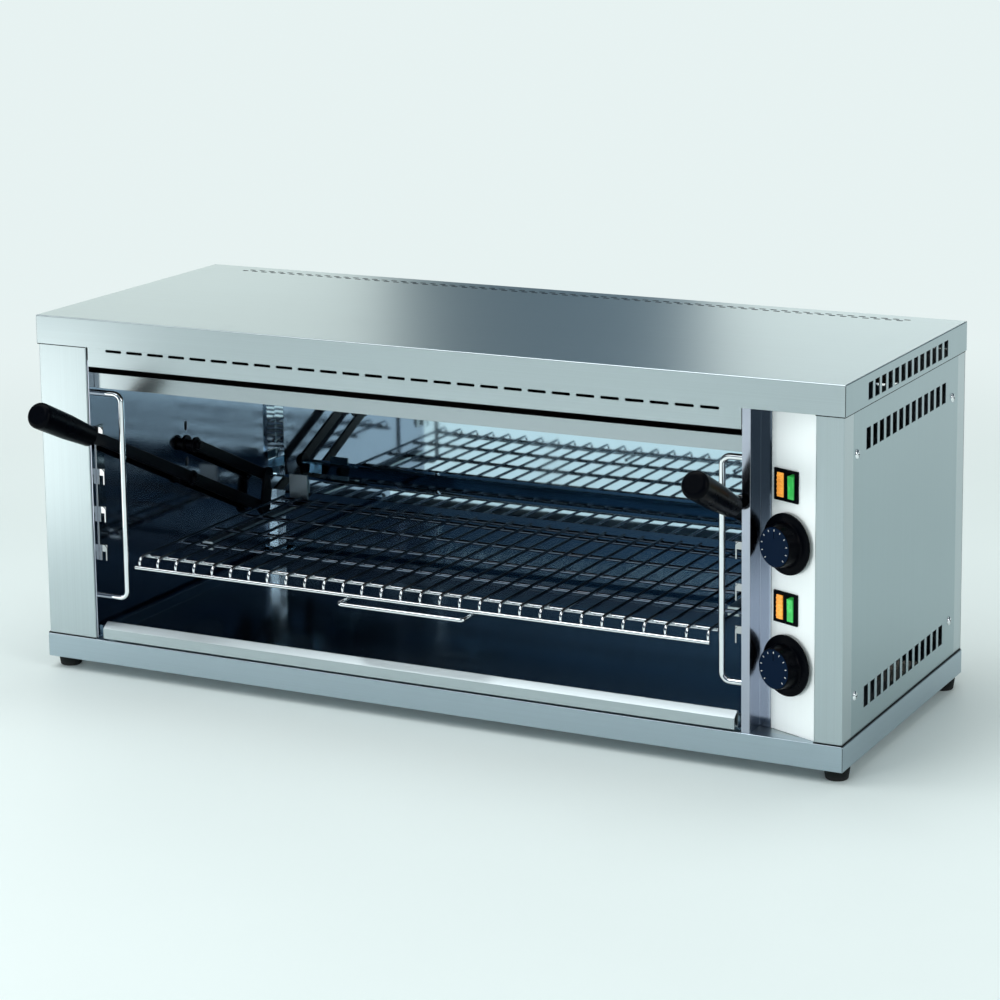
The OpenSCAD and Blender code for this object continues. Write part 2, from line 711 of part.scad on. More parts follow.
// ---- grid and tray ----
// One long wire: up behind the front wire, round a bend and level to the back
module long_wire(x) {
  front = grid_y0 + frame_r + wire_r - wire_sink;
  translate([x, front, grid_z - front_drop]) cylinder(r = wire_r, h = front_drop - bend_r);
  translate([x, front + bend_r, grid_z - bend_r]) rotate([0, 90, 0]) rotate([0, 0, 180])
    rotate_extrude(angle = 90) translate([bend_r, 0]) circle(r = wire_r);
  rod_y(front + bend_r, grid_y1, x, grid_z, wire_r);
}

// Long wires welded on evenly spaced cross wires, one more at the rear end and one at the front
module wire_grid() {
  x0 = grid_x0 - cross_over;
  x1 = grid_x1 + cross_over;
  step = (last_cross - first_cross) / cross_spaces;
  centred() color(chrome) {
    for (i = [0 : grid_n - 1]) long_wire(grid_x0 + i * grid_step);
    for (i = [0 : cross_spaces]) rod_x(x0, x1, first_cross + i * step, cross_wire_z, frame_r);
    rod_x(x0, x1, grid_y1 - frame_r, cross_wire_z, frame_r);
    rod_x(x0, x1, grid_y0, front_wire_z, frame_r);
  }
}

// Finger loop below the grid's front edge
module pull_loop() {
  w = 67;
  r = 4;
  z = front_wire_z - 2 * frame_r - 0.05;
  centred() color(chrome) translate([cav_xc, 0, z]) {
    for (s = [-1, 1]) {
      rod_y(r, grid_y0 + 16, s * w, 0, frame_r);
      translate([s * (w - r), r, 0]) rotate([0, 0, s > 0 ? -90 : 180])
        rotate_extrude(angle = 90) translate([r, 0]) circle(r = frame_r);
    }
    rod_x(-w + r, w - r, 0, 0, frame_r);
  }
}

module drip_tray() {
  x0 = cav_xl + 8;
  x1 = cav_xr - 6;
  z0 = floor_top + 0.2;
  y1 = cav_back - 10;
  wall_h = 12;
  lip_top = z0 + tray_lip + 1;
  t = 1;
  centred() color(bright) {
    block([x0, 9, z0], [x1, y1, z0 + t]);
    for (x = [x0, x1 - t]) block([x, 9, z0], [x + t, y1, z0 + wall_h]);
    block([x0, y1 - t, z0], [x1, y1, z0 + wall_h]);
    translate([x0, 0, 0]) along_x(x1 - x0) polygon([
      [9, z0], [9 + t, z0], [9 + t, lip_top], [8, lip_top + 0.6], [0, lip_top - 5], [0, z0 + 0.6], [5, z0 + 0.6],
      [5, z0 + 0.6 + t], [t, z0 + 0.6 + t], [t, lip_top - 5.6], [8, lip_top - 0.8], [9, lip_top - 0.8]
    ]);
  }
}

// ---- fasteners ----
module dome_screw() {
  rotate_extrude() polygon([[0, -8], [screw_r, -8], [screw_r, 0], [4, 0], [3.7, 1], [2.6, 1.9], [1.2, 2.2], [0, 2.2]]);
}

module cover_screws() {
  centred() color(chrome) {
    for (s = [-1, 1], y = screw_ys, z = screw_zs)
      translate([s * side_x, y, z]) rotate([0, s * 90, 0]) dome_screw();
    for (s = [-1, 1], z = rear_screw_zs)
      translate([s * rear_screw_x, body_d, z]) rotate([-90, 0, 0]) dome_screw();
  }
}

base_pan();
foot(-1, foot_y);  // foot_front_left
foot(1, foot_y);  // foot_front_right
foot(-1, body_d - foot_y);  // foot_rear_left
foot(1, body_d - foot_y);  // foot_rear_right
pillar(-1, pillar_w - inset - sheet - seat_gap);  // left_pillar
pillar(1, half_w - right_flange_x - inset);  // right_pillar
side_panel(-1);  // left_side_panel
side_panel(1);  // right_side_panel
rear_post(-1);  // left_rear_post
rear_post(1);  // right_rear_post
rear_panel();
top_cover();
header_strip();
heat_deflector();
ceiling_reflector();
cavity_left_wall();
cavity_right_wall();
cavity_back_wall();
cavity_floor();
element(0);  // element_front
element(4);  // element_rear
element_supports();
control_panel();
switch_housing(switch_zs[0]);  // switch_housing_upper
switch_housing(switch_zs[1]);  // switch_housing_lower
pilot_lens(switch_zs[0]);  // pilot_lens_upper
pilot_lens(switch_zs[1]);  // pilot_lens_lower
rocker(switch_zs[0]);  // rocker_upper
rocker(switch_zs[1]);  // rocker_lower
regulator(knob_zs[0]);  // regulator_upper
regulator(knob_zs[1]);  // regulator_lower
regulator_shaft(knob_zs[0]);  // regulator_shaft_upper
regulator_shaft(knob_zs[1]);  // regulator_shaft_lower
knob(knob_zs[0]);  // knob_upper
knob(knob_zs[1]);  // knob_lower
terminal_block();
cable_gland();
guide_rod(-1);  // guide_rod_left
guide_rod(1);  // guide_rod_right
stop_hooks(-1);  // stop_hooks_left
stop_hooks(1);  // stop_hooks_right
pivot_studs(-1);  // pivot_studs_left
pivot_studs(1);  // pivot_studs_right
lever(-1, pin_r + running);  // lever_left
lever(1, pin_r + open_play);  // lever_right
grip(-1);  // grip_left
grip(1);  // grip_right
upper_link(-1);  // upper_link_left
upper_link(1);  // upper_link_right
carrier_plate(-1);  // carrier_plate_left
carrier_plate(1);  // carrier_plate_right
rear_cross_bar();
support_arm(-1);  // support_arm_left
support_arm(1);  // support_arm_right
wire_grid();
pull_loop();
drip_tray();
cover_screws();
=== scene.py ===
"""Finishes, wirework and fittings of an electric cheese melter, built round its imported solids."""

import json
import math

import bmesh
import bpy
from bpy.props import FloatProperty, FloatVectorProperty, IntProperty, PointerProperty
from mathutils import Matrix, Vector

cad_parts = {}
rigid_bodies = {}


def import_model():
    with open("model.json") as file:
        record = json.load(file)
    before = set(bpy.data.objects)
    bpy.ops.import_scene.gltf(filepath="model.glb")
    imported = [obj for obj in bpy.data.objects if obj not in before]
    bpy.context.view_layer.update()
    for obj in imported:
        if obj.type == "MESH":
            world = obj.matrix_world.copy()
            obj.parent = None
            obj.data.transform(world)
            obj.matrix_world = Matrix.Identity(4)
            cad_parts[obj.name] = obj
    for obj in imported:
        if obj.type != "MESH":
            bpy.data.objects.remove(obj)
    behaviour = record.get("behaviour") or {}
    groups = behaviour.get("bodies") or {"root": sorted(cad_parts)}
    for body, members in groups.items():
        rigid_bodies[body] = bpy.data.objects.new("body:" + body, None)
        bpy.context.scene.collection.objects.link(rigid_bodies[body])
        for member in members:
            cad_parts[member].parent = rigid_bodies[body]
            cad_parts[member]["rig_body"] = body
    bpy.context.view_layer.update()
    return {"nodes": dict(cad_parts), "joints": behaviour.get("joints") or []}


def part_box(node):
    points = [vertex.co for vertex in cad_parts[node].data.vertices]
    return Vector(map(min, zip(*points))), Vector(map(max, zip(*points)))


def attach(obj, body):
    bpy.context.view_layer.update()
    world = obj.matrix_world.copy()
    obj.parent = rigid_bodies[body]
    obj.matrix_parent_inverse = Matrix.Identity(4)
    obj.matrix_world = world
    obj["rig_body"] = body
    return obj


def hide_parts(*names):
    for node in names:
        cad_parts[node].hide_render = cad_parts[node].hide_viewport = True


bl_info = {
    "name": "Cheese melter looks",
    "version": (1, 0, 0),
    "blender": (4, 5, 0),
    "location": "View3D > Sidebar > Melter",
    "description": "Sheet metal, wirework, lever gear and controls of an electric cheese melter",
    "category": "Object",
}

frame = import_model()
MM = 0.001


# ---- sizes and colours a user would change ----

COLOUR = {"subtype": "COLOR", "min": 0, "max": 1}
LENGTH = {"unit": "LENGTH", "min": 0}
POWER = {"unit": "POWER", "min": 0}


class MelterMetals(bpy.types.PropertyGroup):
    """Tints and grain of the metal finishes"""

    cover_tint: FloatVectorProperty(
        name="Cover", description="Tint of the cover's top",
        default=(0.50, 0.63, 0.67), **COLOUR)
    # painted shade: the sides are a darker copy of the cabinet steel
    shaded_side_tint: FloatVectorProperty(
        name="Sides", description="Tint of side panels and the cover's sides",
        default=(0.37, 0.46, 0.485), **COLOUR)
    # painted shade: the base pan is a darker, bluer copy of the cabinet steel, standing in for the shaded
    # floor it mirrors
    shaded_base_tint: FloatVectorProperty(
        name="Base", description="Tint of the base pan",
        default=(0.43, 0.52, 0.575), **COLOUR)
    steel_tint: FloatVectorProperty(
        name="Satin steel", description="Tint of the brushed cabinet sheet",
        default=(0.49, 0.56, 0.58), **COLOUR)
    bright_tint: FloatVectorProperty(
        name="Bright steel", description="Tint of deflector and ceiling reflector",
        default=(0.74, 0.84, 0.88), **COLOUR)
    panel_tint: FloatVectorProperty(
        name="Control panel", description="Tint of the matt control panel",
        default=(0.93, 0.99, 1.0), **COLOUR)
    tray_tint: FloatVectorProperty(
        name="Tray", description="Tint of the heated drip tray",
        default=(0.42, 0.50, 0.57), **COLOUR)
    wall_tint: FloatVectorProperty(
        name="Side walls", description="Tint of the cavity's side walls",
        default=(0.45, 0.48, 0.56), **COLOUR)
    mirror_tint: FloatVectorProperty(
        name="Polished steel", description="Tint of the cavity walls",
        default=(0.53, 0.69, 0.78), **COLOUR)
    chrome_tint: FloatVectorProperty(
        name="Chrome", description="Tint of the wires and rods",
        default=(0.86, 0.89, 0.91), **COLOUR)
    grain: FloatProperty(
        name="Grain", description="Strength of the brushed grain", default=0.5, min=0, max=1)
    cut_edge: FloatProperty(
        name="Cut edge", description="Rounding of cut sheet edges", default=0.2 * MM, **LENGTH)
    fold_radius: FloatProperty(
        name="Fold", description="Outer radius of the long folds", default=1.2 * MM, **LENGTH)


class MelterFittings(bpy.types.PropertyGroup):
    """Colours and small sizes of the fittings"""

    enamel_tint: FloatVectorProperty(
        name="Enamel", description="Colour of levers, links and carrier",
        default=(0.0015, 0.0020, 0.0040), **COLOUR)
    grip_tint: FloatVectorProperty(
        name="Knob faces", description="Colour of the discs on the knobs",
        default=(0.0002, 0.0070, 0.0240), **COLOUR)
    handle_tint: FloatVectorProperty(
        name="Mouldings", description="Colour of grips, knobs and switch housings",
        default=(0.0008, 0.0012, 0.0024), **COLOUR)
    amber_tint: FloatVectorProperty(
        name="Amber", description="Colour of the pilot lenses",
        default=(0.92, 0.36, 0.05), **COLOUR)
    green_tint: FloatVectorProperty(
        name="Green", description="Colour of the rockers",
        default=(0.04, 0.50, 0.09), **COLOUR)
    dial_marks: IntProperty(
        name="Dial marks", description="Marks printed round each knob's face", default=11, min=3, max=40)
    dial_radius: FloatProperty(
        name="Dial radius", description="Radius of the ring of marks",
        default=15.2 * MM, **LENGTH)
    screw_head: FloatProperty(
        name="Screw head", description="Radius of the dome screw heads",
        default=4.5 * MM, **LENGTH)


class MelterWires(bpy.types.PropertyGroup):
    """Sizes of the wirework"""

    long_wires: IntProperty(
        name="Long wires", description="Wires that run from front to back", default=30, min=2, max=80)
    wire_radius: FloatProperty(
        name="Wire radius", description="Radius of the long wires", default=1.5 * MM, **LENGTH)
    frame_radius: FloatProperty(
        name="Cross wire radius", description="Radius of cross wires and pull loop",
        default=2 * MM, **LENGTH)
    rod_radius: FloatProperty(
        name="Guide rod radius", description="Radius of the lever guide rods",
        default=3 * MM, **LENGTH)


class MelterStudio(bpy.types.PropertyGroup):
    """Floor, lamps and camera"""

    floor_tint: FloatVectorProperty(
        name="Floor", description="Colour of floor and backdrop",
        default=(0.80, 0.89, 0.885), **COLOUR)
    key_power: FloatProperty(
        name="Key lamp", description="Power of the large lamp on the left", default=50, **POWER)
    low_power: FloatProperty(
        name="Low lamp", description="Power of the lamp that lights matt uprights only", default=22, **POWER)
    edge_power: FloatProperty(
        name="Edge lamp", description="Power of the small lamp mirrored in the left uprights", default=0.23,
        **POWER)
    fill_power: FloatProperty(
        name="Fill lamp", description="Power of the lamp on the right", default=20, **POWER)
    top_power: FloatProperty(
        name="Top lamp", description="Power of the lamp overhead", default=26, **POWER)
    back_power: FloatProperty(
        name="Back lamp", description="Power of the lamp behind on the left", default=8.3, **POWER)
    sky_level: FloatProperty(
        name="Sky", description="Level of the even light all round", default=0.42, min=0)
    camera_place: FloatVectorProperty(
        name="Camera", description="Where the camera stands", subtype="XYZ", unit="LENGTH",
        default=(1.3059, -2.5109, 0.8893))
    camera_yaw: FloatProperty(
        name="Yaw", description="Turn of the camera to the left", subtype="ANGLE", default=0.4735)
    camera_pitch: FloatProperty(
        name="Pitch", description="How far the camera looks down", subtype="ANGLE", default=0.1836)
    camera_roll: FloatProperty(
        name="Roll", description="Turn of the camera about its axis", subtype="ANGLE", default=-0.0119)
    camera_lens: FloatProperty(
        name="Lens", description="Focal length in millimetres on a 36 mm sensor", default=107.31, min=10)
    camera_shift: FloatProperty(
        name="Shift", description="Upward shift of the lens", default=-0.18)


# ---- node trees as Python expressions ----


class Value:
    """A socket of a node tree that takes part in arithmetic."""

    def __init__(self, tree, socket=None):
        self.tree = tree
        self.socket = socket

    def node(self, kind, inputs=None, output=0, **settings):
        """Adds a node: its settings first, then the values or links of its sockets."""
        made = self.tree.nodes.new(kind)
        for name, value in settings.items():
            if name == "stops":
                set_stops(made.color_ramp, value)
            else:
                setattr(made, name, value)
        for key, value in (inputs or {}).items():
            plug(self.tree, made.inputs[key], value)
        return Value(self.tree, made.outputs[output])

    def maths(self, operation, *values):
        return self.node("ShaderNodeMath", dict(enumerate(values)), operation=operation)

    def __add__(self, other):
        return self.maths("ADD", self, other)

    def __sub__(self, other):
        return self.maths("SUBTRACT", self, other)

    def __rsub__(self, other):
        return self.maths("SUBTRACT", other, self)

    def __mul__(self, other):
        return self.maths("MULTIPLY", self, other)

    def __truediv__(self, other):
        return self.maths("DIVIDE", self, other)

    __radd__ = __add__

    def between(self, low, high, to_low=0.0, to_high=1.0):
        """Runs smoothly from to_low to to_high as the value goes from low to high."""
        return self.node(
            "ShaderNodeMapRange",
            {"Value": self, "From Min": low, "From Max": high, "To Min": to_low, "To Max": to_high},
            interpolation_type="SMOOTHSTEP")

    def blend(self, first, second, kind="MIX"):
        """Colour that goes from first to second with this value."""
        return self.node(
            "ShaderNodeMix", {0: self, 6: paint(first), 7: paint(second)}, 2, data_type="RGBA",
            blend_type=kind)


def plug(tree, socket, value):
    if isinstance(value, Value):
        tree.links.new(value.socket, socket)
    else:
        socket.default_value = value


def paint(colour):
    """A colour as four numbers; a socket stays as it is."""
    return colour if isinstance(colour, Value) else (*tuple(colour)[:3], 1.0)


def set_stops(ramp, stops):
    while len(ramp.elements) < len(stops):
        ramp.elements.new(0.5)
    for element, (place, colour) in zip(ramp.elements, stops):
        element.position = place
        element.color = paint(colour)


def shade(colour, factor):
    return tuple(min(1.0, c * factor) for c in tuple(colour)[:3])


class Finish:
    """One material: its shader and the textures that vary it."""

    def __init__(self, name, **constants):
        self.material = bpy.data.materials.new(name)
        self.material.use_nodes = True
        self.tree = self.material.node_tree
        self.shader = self.tree.nodes["Principled BSDF"]
        for key, value in constants.items():
            self.shader.inputs[key.replace("_", " ")].default_value = value
        self.start = Value(self.tree)
        self.place = self.start.node("ShaderNodeTexCoord", output="Object")

    def set(self, socket, value):
        plug(self.tree, self.shader.inputs[socket], value)

    def stretched(self, scale):
        """Object coordinates stretched by a factor on each axis."""
        return self.start.node("ShaderNodeMapping", {"Vector": self.place, "Scale": scale})

    def noise(self, scale, detail=2.0, roughness=0.5, at=None):
        return self.start.node(
            "ShaderNodeTexNoise",
            {"Vector": at or self.place, "Scale": scale, "Detail": detail, "Roughness": roughness})

    def axis(self, name):
        return self.start.node("ShaderNodeSeparateXYZ", {"Vector": self.place}, output=name)

    def done(self, colour, rough, height=None, distance=0.0):
        """Plugs in colour and roughness, and bumps of a depth where there are any; returns the material."""
        self.set("Base Color", colour)
        self.set("Roughness", rough)
        if height:
            self.set("Normal", self.start.node("ShaderNodeBump", {"Height": height, "Distance": distance}))
        return self.material


# ---- finishes ----

SATIN = 0.31  # roughness of brushed sheet
GRAIN_ALONG = {"X": (4, 1700, 1700), "Y": (1700, 4, 1700), "Z": (1700, 1700, 4)}


def brushed_steel(name, tint, along, rough, grain, cloud=0.05, metallic=1.0):
    """Sheet with a brushed grain along one axis, faint clouding and handling marks."""
    finish = Finish(name, Metallic=metallic)
    streak = finish.noise(1.0, 2.0, 0.7, at=finish.stretched(GRAIN_ALONG[along]))
    coarse = finish.noise(1.0, 1.0, 0.5, at=finish.stretched(tuple(s / 3 for s in GRAIN_ALONG[along])))
    clouds = finish.noise(4.0, 2.0)
    marks = finish.noise(34.0, 4.0, 0.65).between(0.60, 0.74)
    lines = streak * 0.7 + coarse * 0.3
    tone = lines.between(0.3, 0.7).blend(shade(tint, 1 - 0.07 * grain), shade(tint, 1 + 0.04 * grain))
    return finish.done(
        clouds.between(0.35, 0.65, 0.0, cloud).blend(tone, shade(tint, 0.6)),
        rough + (lines - 0.5) * (0.10 * grain) + marks * 0.02, lines, 0.000002 * grain)


def polished_steel(name, tint, along, rough=0.03, dark_top_reflection=None):
    """Mirror sheet: slow waves, a wiped haze and fine scratches; its upper part may take a painted dark
    reflection.
    """
    finish = Finish(name, Metallic=1.0)
    waves = finish.noise(5.0, 1.0)
    haze = finish.noise(9.0, 4.0, 0.6).between(0.42, 0.72)
    scratch = finish.noise(1.0, 2.0, 0.8, at=finish.stretched(GRAIN_ALONG[along])).between(0.62, 0.75)
    tone = haze.blend(tint, shade(tint, 0.93))
    if dark_top_reflection:
        # painted reflection: the colour turns dark above a height, standing in for the dark that the sheet
        # mirrors
        tone = finish.axis("Z").between(0.15, 0.26).blend(tone, dark_top_reflection)
    return finish.done(tone, rough + haze * rough + scratch * 0.04, waves, 0.0005)


def tray_steel(name, lip_tint, tint, front):
    """Tray sheet: a satin lip, and behind it a smoother pan blued by the heat, with cooked-on haze."""
    finish = Finish(name, Metallic=1.0)
    grain = finish.noise(1.0, 2.0, 0.6, at=finish.stretched((3, 420, 420)))
    pan = finish.axis("Y").between(front + 14 * MM, front + 18 * MM)
    haze = finish.noise(7.0, 4.0, 0.6).between(0.40, 0.70)
    lip = grain.between(0.3, 0.7).blend(shade(lip_tint, 0.95), lip_tint)
    return finish.done(
        pan.blend(lip, haze.blend(tint, shade(tint, 0.86))),
        0.27 - pan * 0.15 + grain * 0.02 + haze * 0.03)


def steel_with_painted_inside_shade(name, tint, front):
    """Bright sheet whose part behind the front edge is darkened: painted shade of the housing's inside,
    mottled like heat browning and soot.
    """
    finish = Finish(name, Metallic=1.0)
    grain = finish.noise(1.0, 2.0, 0.7, at=finish.stretched(GRAIN_ALONG["X"]))
    # painted shade: dark from just behind the front edge, where the inside of the housing lies in shade
    inside_shade = finish.axis("Y").between(front + 0.5 * MM, front + 3.0 * MM)
    patch = finish.noise(22.0, 3.0, 0.6).between(0.35, 0.65)
    shade_and_soot = patch.blend((0.018, 0.016, 0.018), (0.05, 0.04, 0.035))
    return finish.done(
        inside_shade.blend(grain.blend(shade(tint, 0.94), tint), shade_and_soot),
        0.17 + grain * 0.06 + inside_shade * 0.35, grain, 0.000005)


def chromed_wire(name, tint, front=None):
    """Bright plating, browned in patches; behind a given front row it turns darker and bluer."""
    finish = Finish(name, Metallic=1.0)
    dull = finish.noise(60.0, 3.0, 0.6).between(0.50, 0.75)
    brown = finish.noise(14.0, 2.0).between(0.58, 0.78)
    tone = (brown * 0.25).blend(tint, (0.42, 0.38, 0.34))
    if front is not None:
        # darker and bluer from just behind the front row towards the back
        heat = finish.axis("Y").between(front + 8 * MM, front + 45 * MM)
        tone = heat.blend(tone, brown.blend((0.18, 0.22, 0.27), (0.22, 0.18, 0.18)))
    return finish.done(tone, 0.06 + dull * 0.10, finish.noise(900.0, 2.0), 0.00001)


def enamelled_steel(name, tint):
    """Stoved black enamel: orange peel and a greyer bloom where hands and heat reach it."""
    finish = Finish(name, Specular_IOR_Level=0.14, Coat_Weight=0.03, Coat_Roughness=0.2)
    bloom = finish.noise(20.0, 4.0, 0.6).between(0.5, 0.8)
    return finish.done(
        bloom.blend(tint, shade(tint, 2.2)),
        0.30 + bloom * 0.14, finish.noise(700.0, 1.0), 0.00003)


def moulded_plastic(name, tint, rough, shine):
    """Moulded black plastic with a fine spark-eroded texture and polished high spots."""
    finish = Finish(name, Specular_IOR_Level=shine)
    worn = finish.noise(45.0, 3.0).between(0.52, 0.75)
    return finish.done(
        worn.blend(tint, shade(tint, 1.4)),
        rough + finish.noise(260.0, 2.0) * 0.12 - worn * 0.06, finish.noise(1500.0, 2.0), 0.000006)


def lit_plastic(name, tint, glow):
    """Translucent coloured plastic: deeper at the foot, brighter where the lamp sits behind it."""
    finish = Finish(name, Emission_Strength=glow, Coat_Weight=0.6, Coat_Roughness=0.08)
    depth = finish.noise(120.0, 2.0).between(0.3, 0.7)
    tone = depth.blend(shade(tint, 0.85), shade(tint, 1.15))
    finish.set("Emission Color", tone)
    return finish.done(tone, 0.22 + depth * 0.08)


def galvanised_sheet(name):
    """Zinc spangle: flat crystals of slightly different grey and gloss."""
    finish = Finish(name, Metallic=0.9)
    cells = finish.start.node("ShaderNodeTexVoronoi", {"Vector": finish.place, "Scale": 130.0}, "Color")
    crystal = finish.start.node("ShaderNodeRGBToBW", {"Color": cells})
    stain = finish.noise(9.0, 3.0).between(0.4, 0.7)
    tone = crystal.blend((0.42, 0.44, 0.45), (0.62, 0.64, 0.65))
    return finish.done((stain * 0.3).blend(tone, (0.36, 0.37, 0.37)), 0.34 + crystal * 0.22)


def element_sheath(name):
    """Oxidised sheath, straw and violet where it ran hottest."""
    finish = Finish(name, Metallic=0.8)
    heat = finish.noise(6.0, 3.0)
    tone = heat.node("ShaderNodeValToRGB", {"Fac": heat}, stops=[
        (0.30, (0.055, 0.050, 0.050)), (0.50, (0.110, 0.075, 0.055)), (0.70, (0.085, 0.075, 0.100))])
    return finish.done(tone, 0.45 + heat * 0.2, finish.noise(500.0, 3.0), 0.00004)


def foot_rubber(name):
    finish = Finish(name, Specular_IOR_Level=0.2)
    dust = finish.axis("Z").between(0.0, 0.006, 0.3, 0.0)
    scuff = finish.noise(160.0, 3.0).between(0.5, 0.7)
    return finish.done(
        (dust + scuff * 0.10).blend((0.004, 0.006, 0.006), (0.05, 0.05, 0.05)),
        0.62 + scuff * 0.15, finish.noise(800.0, 2.0), 0.00005)


def unglazed_ceramic(name):
    finish = Finish(name)
    grit = finish.noise(400.0, 3.0)
    return finish.done(
        grit.between(0.3, 0.7).blend((0.62, 0.60, 0.55), (0.74, 0.72, 0.66)),
        0.55 + grit * 0.2, grit, 0.00006)


def printed_white(name):
    finish = Finish(name)
    worn = finish.noise(900.0, 3.0).between(0.4, 0.75)
    return finish.done(worn.blend((0.80, 0.82, 0.82), (0.55, 0.57, 0.58)), 0.4 + worn * 0.2)


FINISHES = {}


def make_finishes(metals, fittings):
    steel, bright, grain = metals.steel_tint, metals.bright_tint, metals.grain
    chrome, mouldings = metals.chrome_tint, fittings.handle_tint
    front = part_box("heat_deflector")[0].y
    for along in "XZ":
        FINISHES[f"satin_{along}"] = brushed_steel(f"satin_steel_{along}", steel, along, SATIN, grain)
    for along in "XYZ":
        FINISHES[f"polish_{along}"] = polished_steel(f"polished_steel_{along}", metals.mirror_tint, along)
    FINISHES.update(
        wall=polished_steel("wall_steel", metals.wall_tint, "Z", 0.09),
        # divider: a lighter copy of the wall steel, with a painted dark reflection on its upper part
        divider=polished_steel("divider_steel_painted_reflection", shade(metals.wall_tint, 1.15), "Z", 0.10, (0.12, 0.15, 0.19)),
        panel=brushed_steel("panel_steel", metals.panel_tint, "Z", 0.42, 0.4 * grain, 0.02, 0.04),
        tray=tray_steel("tray_steel", steel, metals.tray_tint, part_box("drip_tray")[0].y),
        # deflector and ceiling: painted shade behind the deflector's front edge
        deflector=steel_with_painted_inside_shade("steel_with_painted_inside_shade", shade(bright, 0.55), front),
        ceiling=steel_with_painted_inside_shade("ceiling_steel", shade(bright, 0.35), front),
        wire=chromed_wire("chromed_wire", chrome),
        hook=chromed_wire("hook_steel", shade(chrome, 0.55)),
        grid=chromed_wire("grid_wire", chrome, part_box("wire_grid")[0].y),
        zinc=galvanised_sheet("galvanised_sheet"),
        cover=brushed_steel("cover_steel", metals.cover_tint, "X", SATIN, grain),
        # painted shade on the side panels and the cover's sides
        side=brushed_steel("side_steel_painted_shade", metals.shaded_side_tint, "Z", SATIN, grain),
        # painted shade on the base pan
        base=brushed_steel("base_steel_painted_shade", metals.shaded_base_tint, "X", SATIN, grain),
        shaft=brushed_steel("turned_steel", steel, "Z", 0.3, grain),
        enamel=enamelled_steel("black_enamel", fittings.enamel_tint),
        knob_face=moulded_plastic("knob_face", fittings.grip_tint, 0.3, 0.05),
        plastic=moulded_plastic("black_plastic", mouldings, 0.24, 0.04),
        # painted shadow: near-black enamel put on corner seams and hole walls where there is only shade
        shadow=enamelled_steel("painted_shadow_edge", fittings.enamel_tint),
        amber=lit_plastic("amber_lens", fittings.amber_tint, 0.45),
        green=lit_plastic("green_rocker", fittings.green_tint, 0.30),
        sheath=element_sheath("element_sheath"),
        rubber=foot_rubber("foot_rubber"),
        ceramic=unglazed_ceramic("unglazed_ceramic"),
        print=printed_white("printed_white"))


# ---- mesh helpers ----


SHARP = math.radians(35)  # edges that turn by more than this are rounded
FACING = 0.9  # a face looks along an axis when its normal has more than this along it


def linked(name, data):
    """A new object in the scene."""
    made = bpy.data.objects.new(name, data)
    bpy.context.scene.collection.objects.link(made)
    return made


def stored(shape, name):
    """The shape as a mesh of its own."""
    mesh = bpy.data.meshes.new(name)
    shape.to_mesh(mesh)
    shape.free()
    return mesh


def body_of(node):
    return frame["nodes"][node]["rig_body"]


def coat(obj, finish):
    obj.data.materials.clear()
    obj.data.materials.append(FINISHES[finish])


def finish_cad(names, finish):
    """Gives CAD nodes a finish and leaves their shape alone."""
    for name in names:
        coat(frame["nodes"][name], finish)


def merged(node):
    """A closed copy of a CAD node's mesh, with flat faces joined up."""
    shape = bmesh.new()
    shape.from_mesh(frame["nodes"][node].data)
    bmesh.ops.remove_doubles(shape, verts=shape.verts, dist=0.000002)
    bmesh.ops.dissolve_limit(
        shape, angle_limit=math.radians(0.4), verts=shape.verts, edges=shape.edges)
    bmesh.ops.recalc_face_normals(shape, faces=shape.faces)
    return shape


def new_piece(name, mesh, body, finish, nodes=()):
    """Stores a finished mesh as a piece that rides on a body; it may stand for CAD nodes."""
    mesh.name = name
    piece = linked(name, mesh)
    coat(piece, finish)
    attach(piece, body)
    if nodes:
        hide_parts(*nodes)
    return piece


def repaint(piece, finish, chosen):
    """Gives a finish to those faces of a piece whose normal and centre are chosen."""
    material, slots = FINISHES[finish], piece.data.materials
    if material.name not in slots:
        slots.append(material)
    for face in piece.data.polygons:
        if chosen(face.normal, face.center):
            face.material_index = slots.find(material.name)


def smooth_by_angle(mesh, angle):
    mesh.shade_smooth()
    mesh.set_sharp_from_angle(angle=math.radians(angle))


def applied(obj):
    """The evaluated shape of an object as a plain mesh; the object itself is removed."""
    graph = bpy.context.evaluated_depsgraph_get()
    mesh = bpy.data.meshes.new_from_object(obj.evaluated_get(graph))
    bpy.data.objects.remove(obj)
    return mesh


def levelled(mesh):
    """The mesh with its normals weighted by area, so that a flat stays flat beside its rounded edge."""
    work = linked("work", mesh)
    weigh = work.modifiers.new("normals", "WEIGHTED_NORMAL")
    weigh.mode = "FACE_AREA"
    weigh.weight = 90
    weigh.keep_sharp = True
    return applied(work)


def weigh_edges(shape, fold, edge):
    """Marks each sharp edge with the width of its rounding: long outer folds get the fold's radius."""
    weight = shape.edges.layers.float.new("bevel_weight_edge")
    shortest = 12 * MM
    for line in shape.edges:
        if len(line.link_faces) != 2 or line.calc_face_angle(0.0) < SHARP:
            continue
        length = line.calc_length()
        broad = all(face.calc_area() > 4 * fold * length for face in line.link_faces)
        line[weight] = 1.0 if broad and line.is_convex and length > shortest else edge / fold


def lofted(outlines):
    """A closed shape between two outlines of as many points."""
    shape = bmesh.new()
    first, last = [[shape.verts.new(point) for point in outline] for outline in outlines]
    shape.faces.new(first)
    shape.faces.new(last)
    for i in range(len(first)):
        j = (i + 1) % len(first)
        shape.faces.new((first[i], first[j], last[j], last[i]))
    bmesh.ops.recalc_face_normals(shape, faces=shape.faces)
    return shape


def prism(outline, foot, head):
    """A closed upright prism on an outline in plan."""
    return stored(lofted([[(x, y, z) for x, y in outline] for z in (foot, head)]), "prism")


